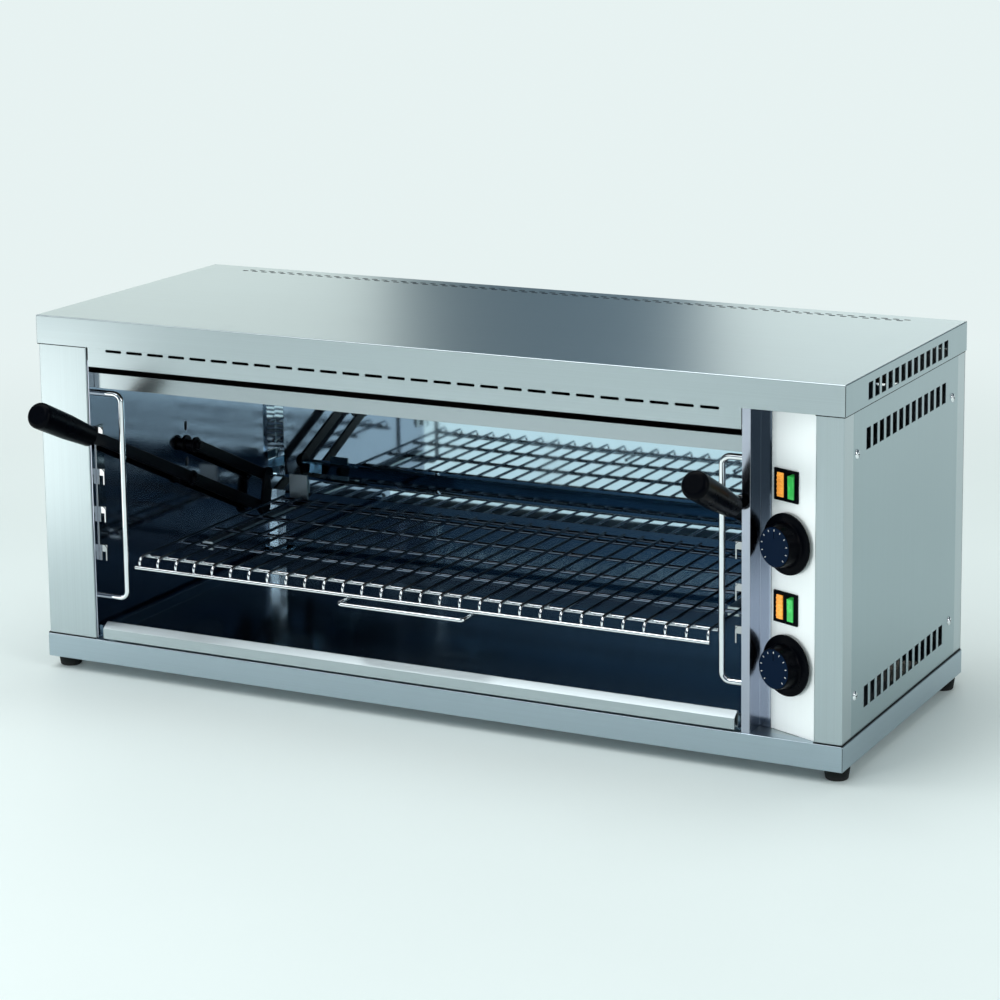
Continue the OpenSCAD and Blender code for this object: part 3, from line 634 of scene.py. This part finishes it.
def eased(node, finish, edge, fold=0.0):
    """The CAD node again with its edges rounded, so that they catch the light."""
    shape = merged(node)
    if fold:
        weigh_edges(shape, fold, edge)
    work = linked("work", stored(shape, node))
    bevel = work.modifiers.new("edges", "BEVEL")
    bevel.width = fold or edge
    bevel.segments = 3 if fold else 2
    bevel.limit_method = "WEIGHT" if fold else "ANGLE"
    bevel.angle_limit = SHARP
    bevel.use_clamp_overlap = False
    made = applied(work)
    smooth_by_angle(made, 50)
    made = levelled(made)
    return new_piece(f"{node}_eased", made, body_of(node), finish, [node])


def strip(name, low, high, finish):
    """A straight folded strip between two corners, its edges rounded; it rides on the cabinet."""
    shape = bmesh.new()
    bmesh.ops.create_cube(shape, size=1.0)
    low, high = Vector(low), Vector(high)
    for vert in shape.verts:
        vert.co = (low + high) / 2 + Vector(c * w for c, w in zip(vert.co, high - low))
    bmesh.ops.bevel(
        shape, geom=list(shape.edges), offset=0.3 * MM, segments=2, profile=0.5, affect="EDGES")
    bmesh.ops.recalc_face_normals(shape, faces=shape.faces)
    mesh = stored(shape, name)
    smooth_by_angle(mesh, 50)
    return new_piece(name, levelled(mesh), "cabinet", finish)


def islands(node):
    """Lowest and highest corner of each separate solid of a CAD node."""
    shape = merged(node)
    left = set(shape.verts)
    found = []
    while left:
        group = set()
        front = [left.pop()]
        while front:
            vert = front.pop()
            group.add(vert)
            for edge in vert.link_edges:
                other = edge.other_vert(vert)
                if other in left:
                    left.remove(other)
                    front.append(other)
        corners = [v.co for v in group]
        low = Vector(min(c[i] for c in corners) for i in range(3))
        high = Vector(max(c[i] for c in corners) for i in range(3))
        found.append((low, high))
    shape.free()
    return found


# ---- geometry node trees ----


def new_tree(name, inputs):
    """An empty geometry tree with named inputs; returns the tree and its inputs as values."""
    tree = bpy.data.node_groups.new(name, "GeometryNodeTree")
    tree.interface.new_socket(name="Geometry", in_out="INPUT", socket_type="NodeSocketGeometry")
    for label, kind in inputs:
        tree.interface.new_socket(name=label, in_out="INPUT", socket_type=f"NodeSocket{kind}")
    tree.interface.new_socket(name="Geometry", in_out="OUTPUT", socket_type="NodeSocketGeometry")
    entry = tree.nodes.new("NodeGroupInput")
    return tree, {socket.name: Value(tree, socket) for socket in entry.outputs if socket.name}


def close_tree(tree, geometry, material):
    """Ends a tree in Realize Instances and Set Material."""
    real = geometry.node("GeometryNodeRealizeInstances", {"Geometry": geometry})
    smooth = real.node("GeometryNodeSetShadeSmooth", {"Geometry": real, "Shade Smooth": True})
    coated = smooth.node("GeometryNodeSetMaterial", {"Geometry": smooth, "Material": material})
    tree.links.new(coated.socket, tree.nodes.new("NodeGroupOutput").inputs[0])


def run_tree(tree, mesh, values):
    """Runs a tree on a starting mesh with its inputs set by identifier; returns the result."""
    work = linked("work", mesh)
    modifier = work.modifiers.new("tree", "NODES")
    modifier.node_group = tree
    for item in tree.interface.items_tree:
        if item.in_out == "INPUT" and item.name in values:
            modifier[item.identifier] = values[item.name]
    made = applied(work)
    shape = bmesh.new()
    shape.from_mesh(made)
    bmesh.ops.remove_doubles(shape, verts=shape.verts, dist=0.0000005)
    bmesh.ops.recalc_face_normals(shape, faces=shape.faces)
    shape.to_mesh(made)
    shape.free()
    smooth_by_angle(made, 45)
    return made


def wire_tree(finish):
    """Round wire along each polyline, its corners bent to a radius, repeated side by side."""
    tree, at = new_tree("bent_wire", [
        ("Wire radius", "Float"), ("Bend radius", "Float"), ("Count", "Int"), ("Pitch", "Vector"),
        ("Sides", "Int")])
    path = at["Geometry"].node("GeometryNodeMeshToCurve", {"Mesh": at["Geometry"]})
    bent = path.node(
        "GeometryNodeFilletCurve",
        {"Curve": path, "Count": 6, "Radius": at["Bend radius"], "Limit Radius": True}, mode="POLY")
    ring = path.node(
        "GeometryNodeCurvePrimitiveCircle", {"Resolution": at["Sides"], "Radius": at["Wire radius"]})
    tube = path.node(
        "GeometryNodeCurveToMesh", {"Curve": bent, "Profile Curve": ring, "Fill Caps": True})
    row = path.node("GeometryNodeMeshLine", {"Count": at["Count"], "Offset": at["Pitch"]})
    wires = path.node("GeometryNodeInstanceOnPoints", {"Points": row, "Instance": tube})
    close_tree(tree, wires, FINISHES[finish])
    return tree


def bead_tree(finish):
    """A low weld bead on every point."""
    tree, at = new_tree("weld_beads", [("Bead radius", "Float")])
    bead = at["Geometry"].node(
        "GeometryNodeMeshIcoSphere", {"Radius": at["Bead radius"], "Subdivisions": 2})
    flat = bead.node(
        "GeometryNodeTransform", {"Geometry": bead, "Scale": (1.15, 1.15, 0.75)})
    beads = bead.node(
        "GeometryNodeInstanceOnPoints", {"Points": at["Geometry"], "Instance": flat})
    close_tree(tree, beads, FINISHES[finish])
    return tree


def screw_tree(finish):
    """Dome heads with a cross recess on every point, each turned by its own amount."""
    tree, at = new_tree("dome_screws", [
        ("Head radius", "Float"), ("Head height", "Float"), ("Facing", "Vector"), ("Seed", "Int")])
    start = at["Geometry"]
    radius, height = at["Head radius"], at["Head height"]
    ball = start.node(
        "GeometryNodeMeshUVSphere", {"Segments": 20, "Rings": 12, "Radius": radius})
    squat = start.node("ShaderNodeCombineXYZ", {"X": 1.0, "Y": 1.0, "Z": height / radius})
    head = start.node("GeometryNodeTransform", {"Geometry": ball, "Scale": squat})
    blade = start.node(
        "ShaderNodeCombineXYZ", {"X": radius * 1.05, "Y": radius * 0.24, "Z": height * 1.2})
    bar = start.node("GeometryNodeMeshCube", {"Size": blade})
    lift = start.node("ShaderNodeCombineXYZ", {"Z": height * 1.05})
    for angle in (0.0, math.radians(90)):
        cut = start.node("GeometryNodeTransform", {
            "Geometry": bar, "Translation": lift, "Rotation": (0.0, 0.0, angle)})
        head = start.node(
            "GeometryNodeMeshBoolean", {"Mesh 1": head, "Mesh 2": cut}, operation="DIFFERENCE")
    upright = start.node("FunctionNodeAlignRotationToVector", {"Vector": at["Facing"]}, axis="Z")
    spin = start.node(
        "FunctionNodeRandomValue", {2: 0.0, 3: math.radians(90), "Seed": at["Seed"]}, 1,
        data_type="FLOAT")
    turn = start.node("FunctionNodeAxisAngleToRotation", {"Axis": (0.0, 0.0, 1.0), "Angle": spin})
    placed = start.node(
        "FunctionNodeRotateRotation", {"Rotation": upright, "Rotate By": turn}, rotation_space="LOCAL")
    heads = start.node(
        "GeometryNodeInstanceOnPoints", {"Points": start, "Instance": head, "Rotation": placed})
    close_tree(tree, heads, FINISHES[finish])
    return tree


def mark_tree(finish):
    """Printed strokes on every point, each one lying across the radius of the ring."""
    tree, at = new_tree("dial_marks", [("Count", "Int"), ("Ring radius", "Float"), ("Stroke", "Vector")])
    sweep = math.radians(270)
    number = at["Geometry"].node("GeometryNodeInputIndex")
    angle = number / (at["Count"] - 1) * sweep + math.radians(-45)
    along = at["Geometry"].node("ShaderNodeCombineXYZ", {
        "X": angle.maths("COSINE", angle) * at["Ring radius"],
        "Y": angle.maths("SINE", angle) * at["Ring radius"]})
    row = angle.node("GeometryNodeMeshLine", {"Count": at["Count"]})
    ring = angle.node("GeometryNodeSetPosition", {"Geometry": row, "Position": along})
    stroke = angle.node("GeometryNodeMeshCube", {"Size": at["Stroke"]})
    facing = angle.node("FunctionNodeAxisAngleToRotation", {"Axis": (0.0, 0.0, 1.0), "Angle": angle})
    marks = angle.node(
        "GeometryNodeInstanceOnPoints", {"Points": ring, "Instance": stroke, "Rotation": facing})
    close_tree(tree, marks, FINISHES[finish])
    return tree


def polylines(paths):
    """A mesh of edges that follows each list of points."""
    mesh = bpy.data.meshes.new("path")
    points = [p for path in paths for p in path]
    edges = []
    first = 0
    for path in paths:
        edges += [(first + i, first + i + 1) for i in range(len(path) - 1)]
        first += len(path)
    mesh.from_pydata([tuple(p) for p in points], edges, [])
    return mesh


def wires(paths, radius, bend, finish, count=1, pitch=(0, 0, 0), sides=14):
    """Wires along the given paths as one mesh."""
    return run_tree(wire_tree(finish), polylines(paths), {
        "Wire radius": radius, "Bend radius": bend, "Count": count, "Pitch": tuple(pitch), "Sides": sides})


def joined(meshes):
    """Several meshes as one."""
    shape = bmesh.new()
    for mesh in meshes:
        shape.from_mesh(mesh)
    whole = stored(shape, "whole")
    smooth_by_angle(whole, 45)
    return whole


# ---- pieces ----


class MELTER_OT_finishes(bpy.types.Operator):
    """Makes every finish"""

    bl_idname = "melter.finishes"
    bl_label = "Finishes"

    def execute(self, context):
        make_finishes(context.scene.melter_metals, context.scene.melter_fittings)
        return {"FINISHED"}


class MELTER_OT_cabinet(bpy.types.Operator):
    """Folded sheets of the cabinet with eased edges"""

    bl_idname = "melter.cabinet"
    bl_label = "Cabinet"

    def execute(self, context):
        metals = context.scene.melter_metals
        edge, fold = metals.cut_edge, metals.fold_radius
        cover = eased("top_cover", "satin_X", edge, fold)
        base = eased("base_pan", "base", edge, fold)
        for piece in (cover, base):
            self.open_corners(piece)
        self.cover_faces_with_painted_shade(cover)
        # painted shadow on the walls of the cover's rear holes
        self.shade_rear_holes(cover)
        # painted shadow: thin near-black strips under the cover's skirt and on the base pan, where the seam
        # lies in shade
        self.shadow_strip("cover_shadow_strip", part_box("top_cover")[0].z - 0.95 * MM)
        self.shadow_strip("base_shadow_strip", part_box("base_pan")[1].z + 0.05 * MM)
        eased("header_strip", "satin_X", edge)
        for side in ("left", "right"):
            eased(f"{side}_pillar", "satin_Z", edge, fold)
            eased(f"{side}_rear_post", "satin_Z", edge, fold)
            eased(f"{side}_side_panel", "side", edge)
        eased("rear_panel", "zinc", edge, fold)
        for place in ("front_left", "front_right", "rear_left", "rear_right"):
            eased(f"foot_{place}", "rubber", 2 * edge)
        return {"FINISHED"}

    def open_corners(self, piece):
        """Paints shadow on the rounded faces at each upright corner of a folded skirt, where the narrow open
        seam is.
        """
        repaint(piece, "shadow", lambda lean, at: (
            abs(abs(lean.x) - abs(lean.y)) < 0.25 and abs(lean.z) < 0.2))

    def cover_faces_with_painted_shade(self, cover):
        """The cover's top takes a bluer tint of its own, and its two sides a darker tint: painted shade on
        the sides.
        """
        repaint(cover, "cover", lambda lean, at: lean.z > FACING)
        repaint(cover, "side", lambda lean, at: abs(lean.x) > FACING)

    def shadow_strip(self, name, foot):
        """Dark strip round each pillar and side panel, where a folded sheet meets them: a painted shadow
        line, made in the near-black rubber finish.
        """
        rise, proud, gap = 0.9 * MM, 0.85 * MM, 0.1 * MM
        for side, turn in (("left", -1), ("right", 1)):
            low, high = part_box(f"{side}_pillar")
            wall, inner = (high.x, low.x) if turn > 0 else (low.x, high.x)
            front, back = low.y - gap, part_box(f"{side}_rear_post")[1].y - 1 * MM
            near, far = wall + turn * gap, wall + turn * (gap + proud)
            outline = [
                (inner, front), (inner, front - proud), (far, front - proud), (far, back), (near, back),
                (near, front)]
            new_piece(f"{name}_{side}", prism(outline, foot, foot + rise), "cabinet", "rubber")

    def shade_rear_holes(self, cover):
        """Paints shadow on the walls of the small holes near the cover's rear edge."""
        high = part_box("top_cover")[1]
        front, back, end, under = high.y - 30 * MM, high.y - 10 * MM, high.x - 20 * MM, high.z - 3 * MM
        repaint(cover, "shadow", lambda lean, at: (
            front < at.y < back and abs(at.x) < end and at.z > under and abs(lean.z) < FACING))


class MELTER_OT_cavity(bpy.types.Operator):
    """Polished lining of the cavity and the heat deflector"""

    bl_idname = "melter.cavity"
    bl_label = "Cavity"

    def execute(self, context):
        edge = context.scene.melter_metals.cut_edge
        eased("cavity_left_wall", "wall", edge)
        right = eased("cavity_right_wall", "wall", edge)
        recess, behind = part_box("control_panel")[0].x - 12 * MM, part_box("left_pillar")[0].y + 1.5 * MM
        repaint(right, "divider", lambda lean, at: at.x > recess and at.y > behind)
        eased("cavity_back_wall", "polish_X", edge)
        eased("cavity_floor", "polish_X", edge)
        eased("ceiling_reflector", "ceiling", edge)
        eased("heat_deflector", "deflector", edge)
        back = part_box("cavity_back_wall")[0].y
        self.corner_fold("left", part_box("cavity_left_wall")[1].x, back, 1)
        self.corner_fold("right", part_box("cavity_right_wall")[0].x, back, -1)
        return {"FINISHED"}

    def corner_fold(self, side, wall, back, turn):
        """Upright fold that closes a rear corner of the cavity: two strips with a seam between them."""
        leg, seam, gap = 13 * MM, 0.45 * MM, 0.1 * MM
        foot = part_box("cavity_floor")[1].z + 0.2 * MM
        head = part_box("ceiling_reflector")[0].z - 0.2 * MM
        middle = leg / 2
        outline = [
            (gap, leg), (middle - seam, middle + seam), (middle - 2 * seam, middle),
            (middle, middle - 2 * seam), (middle + seam, middle - seam), (leg, gap), (gap, gap)]
        plan = [(wall + turn * x, back - y) for x, y in outline]
        new_piece(f"corner_fold_{side}", prism(plan, foot, head), "cabinet", "polish_Z")


class MELTER_OT_heating(bpy.types.Operator):
    """Heating elements and their hangers"""

    bl_idname = "melter.heating"
    bl_label = "Heating"

    def execute(self, context):
        finish_cad(["element_front", "element_rear"], "sheath")
        eased("element_supports", "zinc", 0.3 * MM)
        finish_cad(["terminal_block"], "ceramic")
        finish_cad(["cable_gland"], "plastic")
        return {"FINISHED"}


def knob_frame(name):
    """Rotation that stands a piece on a knob's axis, and the middle of the knob's face."""
    joint = next(j for j in frame["joints"] if j["name"] == f"{name}_turn")
    out = Vector(joint["axis"]).normalized()
    up = Vector((0, 0, 1))
    side = up.cross(out)
    turn = Matrix((side, up, out)).transposed().to_4x4()
    face = max(Vector(v.co).dot(out) for v in frame["nodes"][name].data.vertices)
    centre = Vector(joint["pos_m"])
    return Matrix.Translation(centre + out * (face - centre.dot(out))) @ turn


class MELTER_OT_controls(bpy.types.Operator):
    """Control panel, switches, knobs and their dial marks"""

    bl_idname = "melter.controls"
    bl_label = "Controls"

    def execute(self, context):
        fittings = context.scene.melter_fittings
        eased("control_panel", "panel", context.scene.melter_metals.cut_edge)
        stroke = (1.7 * MM, 0.6 * MM, 0.16 * MM)
        tree = mark_tree("print")
        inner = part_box("cavity_right_wall")
        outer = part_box("control_panel")
        strip("recess_floor", (inner[0].x + 1 * MM, outer[0].y - 2 * MM, inner[0].z - 1.6 * MM),
              (outer[1].x - 2 * MM, outer[1].y - 1 * MM, inner[0].z - 0.3 * MM), "satin_X")
        for level in ("upper", "lower"):
            eased(f"switch_housing_{level}", "plastic", 0.5 * MM)
            eased(f"pilot_lens_{level}", "amber", 0.3 * MM)
            self.rocker(f"rocker_{level}")
            finish_cad([f"regulator_{level}"], "zinc")
            finish_cad([f"regulator_shaft_{level}"], "shaft")
            knob = f"knob_{level}"
            self.cap(knob)
            marks = run_tree(tree, polylines([]), {
                "Count": fittings.dial_marks, "Ring radius": fittings.dial_radius, "Stroke": stroke})
            marks.transform(knob_frame(knob))
            new_piece(f"{knob}_marks", marks, knob, "print")
        return {"FINISHED"}

    def cap(self, knob):
        """Knob with a blue-black disc on its face."""
        piece = eased(knob, "plastic", 0.35 * MM)
        place = knob_frame(knob)
        out, top = place.col[2].to_3d(), place.translation
        repaint(piece, "knob_face", lambda lean, at: (
            lean.dot(out) > FACING and (at - top).dot(out) > -1 * MM))

    def rocker(self, node):
        """Full-height rocker about the same pin, its face cut so that it stands flush at rest."""
        joint = next(j for j in frame["joints"] if j["name"] == f"{node}_tip")
        pin, side = Vector(joint["pos_m"]), Vector(joint["axis"]).normalized()
        up = Vector((0, 0, 1))
        out = side.cross(up)
        tilt, half = math.radians(7), 3.6 * MM
        end = 10.3  # millimetres, as the whole profile is
        profile = [(0, -end), (9.9, -end), (8.8, 0), (7.9, end), (0, end)]
        shape = lofted([[
            pin + side * across + out * MM * (o * math.cos(tilt) + z * math.sin(tilt))
            + up * MM * (z * math.cos(tilt) - o * math.sin(tilt)) for o, z in profile]
            for across in (-half, half)])
        sharp = [e for e in shape.edges if e.calc_face_angle(0.0) > SHARP]
        bmesh.ops.bevel(shape, geom=sharp, offset=0.5 * MM, segments=3, profile=0.5, affect="EDGES")
        mesh = stored(shape, node)
        smooth_by_angle(mesh, 40)
        new_piece(f"{node}_key", levelled(mesh), node, "green", [node])


class MELTER_OT_lever_gear(bpy.types.Operator):
    """Levers, grips, links, carrier and stop hooks"""

    bl_idname = "melter.lever_gear"
    bl_label = "Lever gear"

    def execute(self, context):
        for side in ("left", "right"):
            for name in ("lever", "upper_link", "carrier_plate"):
                eased(f"{name}_{side}", "enamel", 0.5 * MM)
            eased(f"support_arm_{side}", "satin_Z", 0.4 * MM)
            eased(f"grip_{side}", "plastic", 0.4 * MM)
            eased(f"pivot_studs_{side}", "enamel", 0.3 * MM)
            eased(f"stop_hooks_{side}", "hook", 0.25 * MM)
        eased("rear_cross_bar", "polish_X", 0.4 * MM)
        return {"FINISHED"}


class MELTER_OT_guide_rods(bpy.types.Operator):
    """Chromed rods that keep the levers beside the walls"""

    bl_idname = "melter.guide_rods"
    bl_label = "Guide rods"

    def execute(self, context):
        radius = context.scene.melter_wires.rod_radius
        for side, sign in (("left", 1), ("right", -1)):
            node = f"guide_rod_{side}"
            low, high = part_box(node)
            wall, out = (low.x, high.x - radius) if sign > 0 else (high.x, low.x + radius)
            y = (low.y + high.y) / 2
            path = [
                Vector((wall, y, low.z + radius)), Vector((out, y, low.z + radius)),
                Vector((out, y, high.z - radius)), Vector((wall, y, high.z - radius))]
            made = wires([path], radius, 8 * MM, "wire", sides=20)
            new_piece(f"{node}_bent", made, body_of(node), "wire", [node])
        return {"FINISHED"}


class MELTER_OT_wire_grid(bpy.types.Operator):
    """Wire grid with its welds, and the pull loop under its front edge"""

    bl_idname = "melter.wire_grid"
    bl_label = "Wire grid"

    def execute(self, context):
        sizes = context.scene.melter_wires
        thin, thick = sizes.wire_radius, sizes.frame_radius
        low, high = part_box("wire_grid")
        overhang = 3 * MM
        weld = 0.4 * MM
        bend = 6 * MM
        front_drop = 11 * MM
        level = high.z - thin
        left, right = low.x + overhang, high.x - overhang
        front_frame, front_level = low.y + thick, level - front_drop + 1 * MM
        front = front_frame + thick + thin - weld
        step = (right - left) / (sizes.long_wires - 1)
        long_wire = [
            Vector((left, front, level - front_drop)), Vector((left, front, level)),
            Vector((left, high.y, level))]
        under = level - thin - thick + weld
        first, last = front_frame + 20 * MM, high.y - 21.5 * MM
        between = 5  # cross wires between the first and the last of the even rows, both counted
        rows = [first + k * (last - first) / (between - 1) for k in range(between)] + [high.y - thick]
        bars = [(front_frame, front_level)] + [(y, under) for y in rows]
        cross = [[Vector((low.x, y, z)), Vector((high.x, y, z))] for y, z in bars]
        seams = [(y, level - thin) for y in rows] + [(front - thin, front_level)]
        welds = [Vector((left + i * step, y, z)) for i in range(sizes.long_wires) for y, z in seams]
        made = joined([
            wires([long_wire], thin, bend, "grid", count=sizes.long_wires, pitch=(step, 0, 0), sides=10),
            wires(cross, thick, bend, "grid", sides=12),
            run_tree(bead_tree("grid"), polylines([[p] for p in welds]), {"Bead radius": 1.8 * MM})])
        new_piece("wire_grid_welded", made, "grid", "grid", ["wire_grid"])
        self.pull_loop(thick)
        return {"FINISHED"}

    def pull_loop(self, radius):
        low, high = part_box("pull_loop")
        z = (low.z + high.z) / 2
        left, right, near = low.x + radius, high.x - radius, low.y + radius
        path = [
            Vector((left, high.y, z)), Vector((left, near, z)),
            Vector((right, near, z)), Vector((right, high.y, z))]
        made = wires([path], radius, 4 * MM, "wire", sides=16)
        new_piece("pull_loop_bent", made, "grid", "wire", ["pull_loop"])


class MELTER_OT_drip_tray(bpy.types.Operator):
    """Drip tray with its folded front lip, its runners and the stop behind it"""

    bl_idname = "melter.drip_tray"
    bl_label = "Drip tray"

    def execute(self, context):
        eased("drip_tray", "tray", 2 * context.scene.melter_metals.cut_edge)
        low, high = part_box("drip_tray")
        left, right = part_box("cavity_left_wall")[1].x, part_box("cavity_right_wall")[0].x
        floor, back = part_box("cavity_floor")[1].z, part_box("cavity_back_wall")[0].y
        gap, rise, front = 0.7 * MM, 9 * MM, low.y + 16 * MM
        foot, seam = floor + 0.1 * MM, 0.1 * MM
        strip("runner_left", (left + seam, front, foot), (low.x - gap, high.y, foot + rise), "polish_Y")
        strip("runner_right", (high.x + gap, front, foot), (right - seam, high.y, foot + rise), "polish_Y")
        strip("tray_stop", (left + 14 * MM, high.y + gap, foot), (right - 14 * MM, back - seam, foot + rise),
              "polish_X")
        return {"FINISHED"}


class MELTER_OT_screws(bpy.types.Operator):
    """Dome-headed screws of the side and rear panels"""

    bl_idname = "melter.screws"
    bl_label = "Screws"

    def execute(self, context):
        height = 2.2 * MM
        seats = {(-1, 0, 0): [], (1, 0, 0): [], (0, 1, 0): []}
        for low, high in islands("cover_screws"):
            middle = (low + high) / 2
            slim = high.x - low.x > high.y - low.y
            out = Vector((math.copysign(1, middle.x), 0, 0)) if slim else Vector((0, 1, 0))
            reach = max(low.dot(out), high.dot(out)) - height
            seats[tuple(int(c) for c in out)].append(middle + out * (reach - middle.dot(out)))
        tree = screw_tree("wire")
        heads = [
            run_tree(tree, polylines([[p] for p in points]), {
                "Head radius": context.scene.melter_fittings.screw_head, "Head height": height,
                "Facing": tuple(float(c) for c in out), "Seed": 3})
            for out, points in seats.items()]
        new_piece("cover_screws_cross", joined(heads), "cabinet", "wire",
                  ["cover_screws"])
        return {"FINISHED"}


class MELTER_OT_stage(bpy.types.Operator):
    """Pale floor, even sky, soft lamps and the camera"""

    bl_idname = "melter.stage"
    bl_label = "Stage"

    def execute(self, context):
        studio = context.scene.melter_studio
        self.floor(studio)
        self.sky(context.scene, studio)
        self.lamp("key_lamp", (-1.5, -1.7, 3.2), (0.0, 0.0, 0.15), (3.6, 2.6), studio.key_power)
        low = self.lamp("low_lamp", (-0.7, -2.2, 0.35), (0.3, 0.0, 0.2), (1.2, 0.5), studio.low_power)
        low.visible_glossy = False
        edge = self.lamp(
            "edge_lamp", (-0.72, -0.50, 0.15), (-0.41, -0.14, 0.15), (0.2, 0.26), studio.edge_power,
            (1.0, 0.97, 0.94))
        edge.visible_diffuse = False
        self.lamp("fill_lamp", (2.6, -0.9, 1.5), (0.2, 0.0, 0.2), (1.4, 1.4), studio.fill_power)
        self.lamp("top_lamp", (-0.2, 0.2, 2.6), (0.0, 0.0, 0.3), (2.4, 1.2), studio.top_power)
        self.lamp(
            "back_lamp", (-2.5, 2.6, 1.1), (-0.2, 0.1, 0.36), (1.7, 1.1), studio.back_power,
            (0.87, 0.87, 0.79))
        self.lamp(
            "rear_lamp", (-0.30, 3.0, 1.0), (0.3, 0.1, 0.36), (1.4, 0.8), 0.63 * studio.back_power,
            (0.96, 0.94, 0.84))
        self.camera(context.scene, studio)
        context.scene.view_settings.view_transform = "Standard"
        return {"FINISHED"}

    def floor(self, studio):
        reach, plain_from, plain_to = 14.0, 0.8, 1.9
        shape = bmesh.new()
        bmesh.ops.create_grid(shape, x_segments=24, y_segments=24, size=reach)
        floor = linked("floor", stored(shape, "floor"))
        finish = Finish("pale_floor", Roughness=0.55)
        grit = finish.noise(3.0, 3.0).between(0.3, 0.7)
        finish.set("Base Color", grit.blend(shade(studio.floor_tint, 0.985), studio.floor_tint))
        far = finish.start.node("ShaderNodeVectorMath", {0: finish.place}, "Value", operation="LENGTH")
        glow = finish.start.node(
            "ShaderNodeEmission", {"Color": paint(studio.floor_tint), "Strength": 1.0})
        mixed = finish.start.node("ShaderNodeMixShader", {
            0: far.between(plain_from, plain_to), 1: Value(finish.tree, finish.shader.outputs[0]), 2: glow})
        output = finish.tree.nodes["Material Output"]
        finish.tree.links.new(mixed.socket, output.inputs["Surface"])
        floor.data.materials.append(finish.material)

    def sky(self, scene, studio):
        world = bpy.data.worlds.new("studio")
        world.use_nodes = True
        scene.world = world
        tree = world.node_tree
        tree.nodes.clear()
        start = Value(tree)
        direction = start.node("ShaderNodeTexCoord", output="Generated")
        height = start.node("ShaderNodeSeparateXYZ", {"Vector": direction}, output="Z")
        across = start.node("ShaderNodeSeparateXYZ", {"Vector": direction}, output="X")
        pale = studio.floor_tint
        high = start.node("ShaderNodeValToRGB", {"Fac": height}, stops=[
            (0.0, pale), (0.03, shade(pale, 0.8)), (0.10, (0.05, 0.10, 0.14)),
            (0.25, (0.015, 0.028, 0.048)), (0.38, (0.035, 0.055, 0.075)), (0.60, (0.15, 0.185, 0.205)),
            (1.0, (0.32, 0.36, 0.38))])
        front_glow = across.between(-0.50, -0.34) * across.between(-0.1, 0.2, 1.0, 0.0)
        high = front_glow.blend(high, (0.036, 0.066, 0.100), "ADD")
        camera, glossy, through = [start.node("ShaderNodeLightPath", output=name) for name in (
            "Is Camera Ray", "Is Glossy Ray", "Is Transmission Ray")]
        mirrored = start.maths("MAXIMUM", glossy, through)
        seen = start.maths("MAXIMUM", camera, mirrored)
        tone = mirrored.blend(pale, high)
        level = seen * (1.0 - studio.sky_level) + studio.sky_level
        light = start.node("ShaderNodeBackground", {"Color": tone, "Strength": level})
        output = tree.nodes.new("ShaderNodeOutputWorld")
        tree.links.new(light.socket, output.inputs["Surface"])

    def lamp(self, name, place, target, size, power, tint=(1.0, 1.0, 1.0)):
        data = bpy.data.lights.new(name, "AREA")
        data.color = tint
        data.shape = "RECTANGLE"
        data.size, data.size_y = size
        data.energy = power
        lamp = linked(name, data)
        lamp.location = place
        lamp.visible_camera = False
        lamp.rotation_euler = (Vector(target) - Vector(place)).to_track_quat("-Z", "Y").to_euler()
        return lamp

    def camera(self, scene, studio):
        data = bpy.data.cameras.new("camera")
        data.lens = studio.camera_lens
        data.sensor_width = 36
        data.shift_y = studio.camera_shift
        data.clip_start, data.clip_end = 0.05, 60
        yaw, pitch, roll = studio.camera_yaw, studio.camera_pitch, studio.camera_roll
        ahead = Vector((-math.sin(yaw) * math.cos(pitch), math.cos(yaw) * math.cos(pitch), -math.sin(pitch)))
        level = Vector((math.cos(yaw), math.sin(yaw), 0))
        up = level.cross(ahead)
        right = level * math.cos(roll) + up * math.sin(roll)
        above = up * math.cos(roll) - level * math.sin(roll)
        turn = Matrix((right, above, -ahead)).transposed().to_4x4()
        scene.camera = linked("camera", data)
        scene.camera.matrix_world = Matrix.Translation(studio.camera_place) @ turn


# ---- add-on ----

STEPS = (
    MELTER_OT_finishes, MELTER_OT_cabinet, MELTER_OT_cavity, MELTER_OT_heating, MELTER_OT_controls,
    MELTER_OT_lever_gear, MELTER_OT_guide_rods, MELTER_OT_wire_grid, MELTER_OT_drip_tray,
    MELTER_OT_screws, MELTER_OT_stage)
GROUPS = {
    "melter_metals": MelterMetals, "melter_fittings": MelterFittings, "melter_wires": MelterWires,
    "melter_studio": MelterStudio}


class MELTER_PT_panel(bpy.types.Panel):
    """Steps that build the melter's looks"""

    bl_idname = "MELTER_PT_panel"
    bl_label = "Melter"
    bl_space_type = "VIEW_3D"
    bl_region_type = "UI"
    bl_category = "Melter"

    def draw(self, context):
        for step in STEPS:
            self.layout.operator(step.bl_idname)
        for name, group in GROUPS.items():
            box = self.layout.box()
            for field in group.__annotations__:
                box.prop(getattr(context.scene, name), field)


def register():
    for group in GROUPS.values():
        bpy.utils.register_class(group)
    for name, group in GROUPS.items():
        setattr(bpy.types.Scene, name, PointerProperty(type=group))
    for step in (*STEPS, MELTER_PT_panel):
        bpy.utils.register_class(step)


def unregister():
    for step in (MELTER_PT_panel, *reversed(STEPS)):
        bpy.utils.unregister_class(step)
    for name in GROUPS:
        delattr(bpy.types.Scene, name)
    for group in GROUPS.values():
        bpy.utils.unregister_class(group)


def main():
    register()
    for step in STEPS:
        group, name = step.bl_idname.split(".")
        getattr(getattr(bpy.ops, group), name)()


if __name__ == "__main__":
    main()
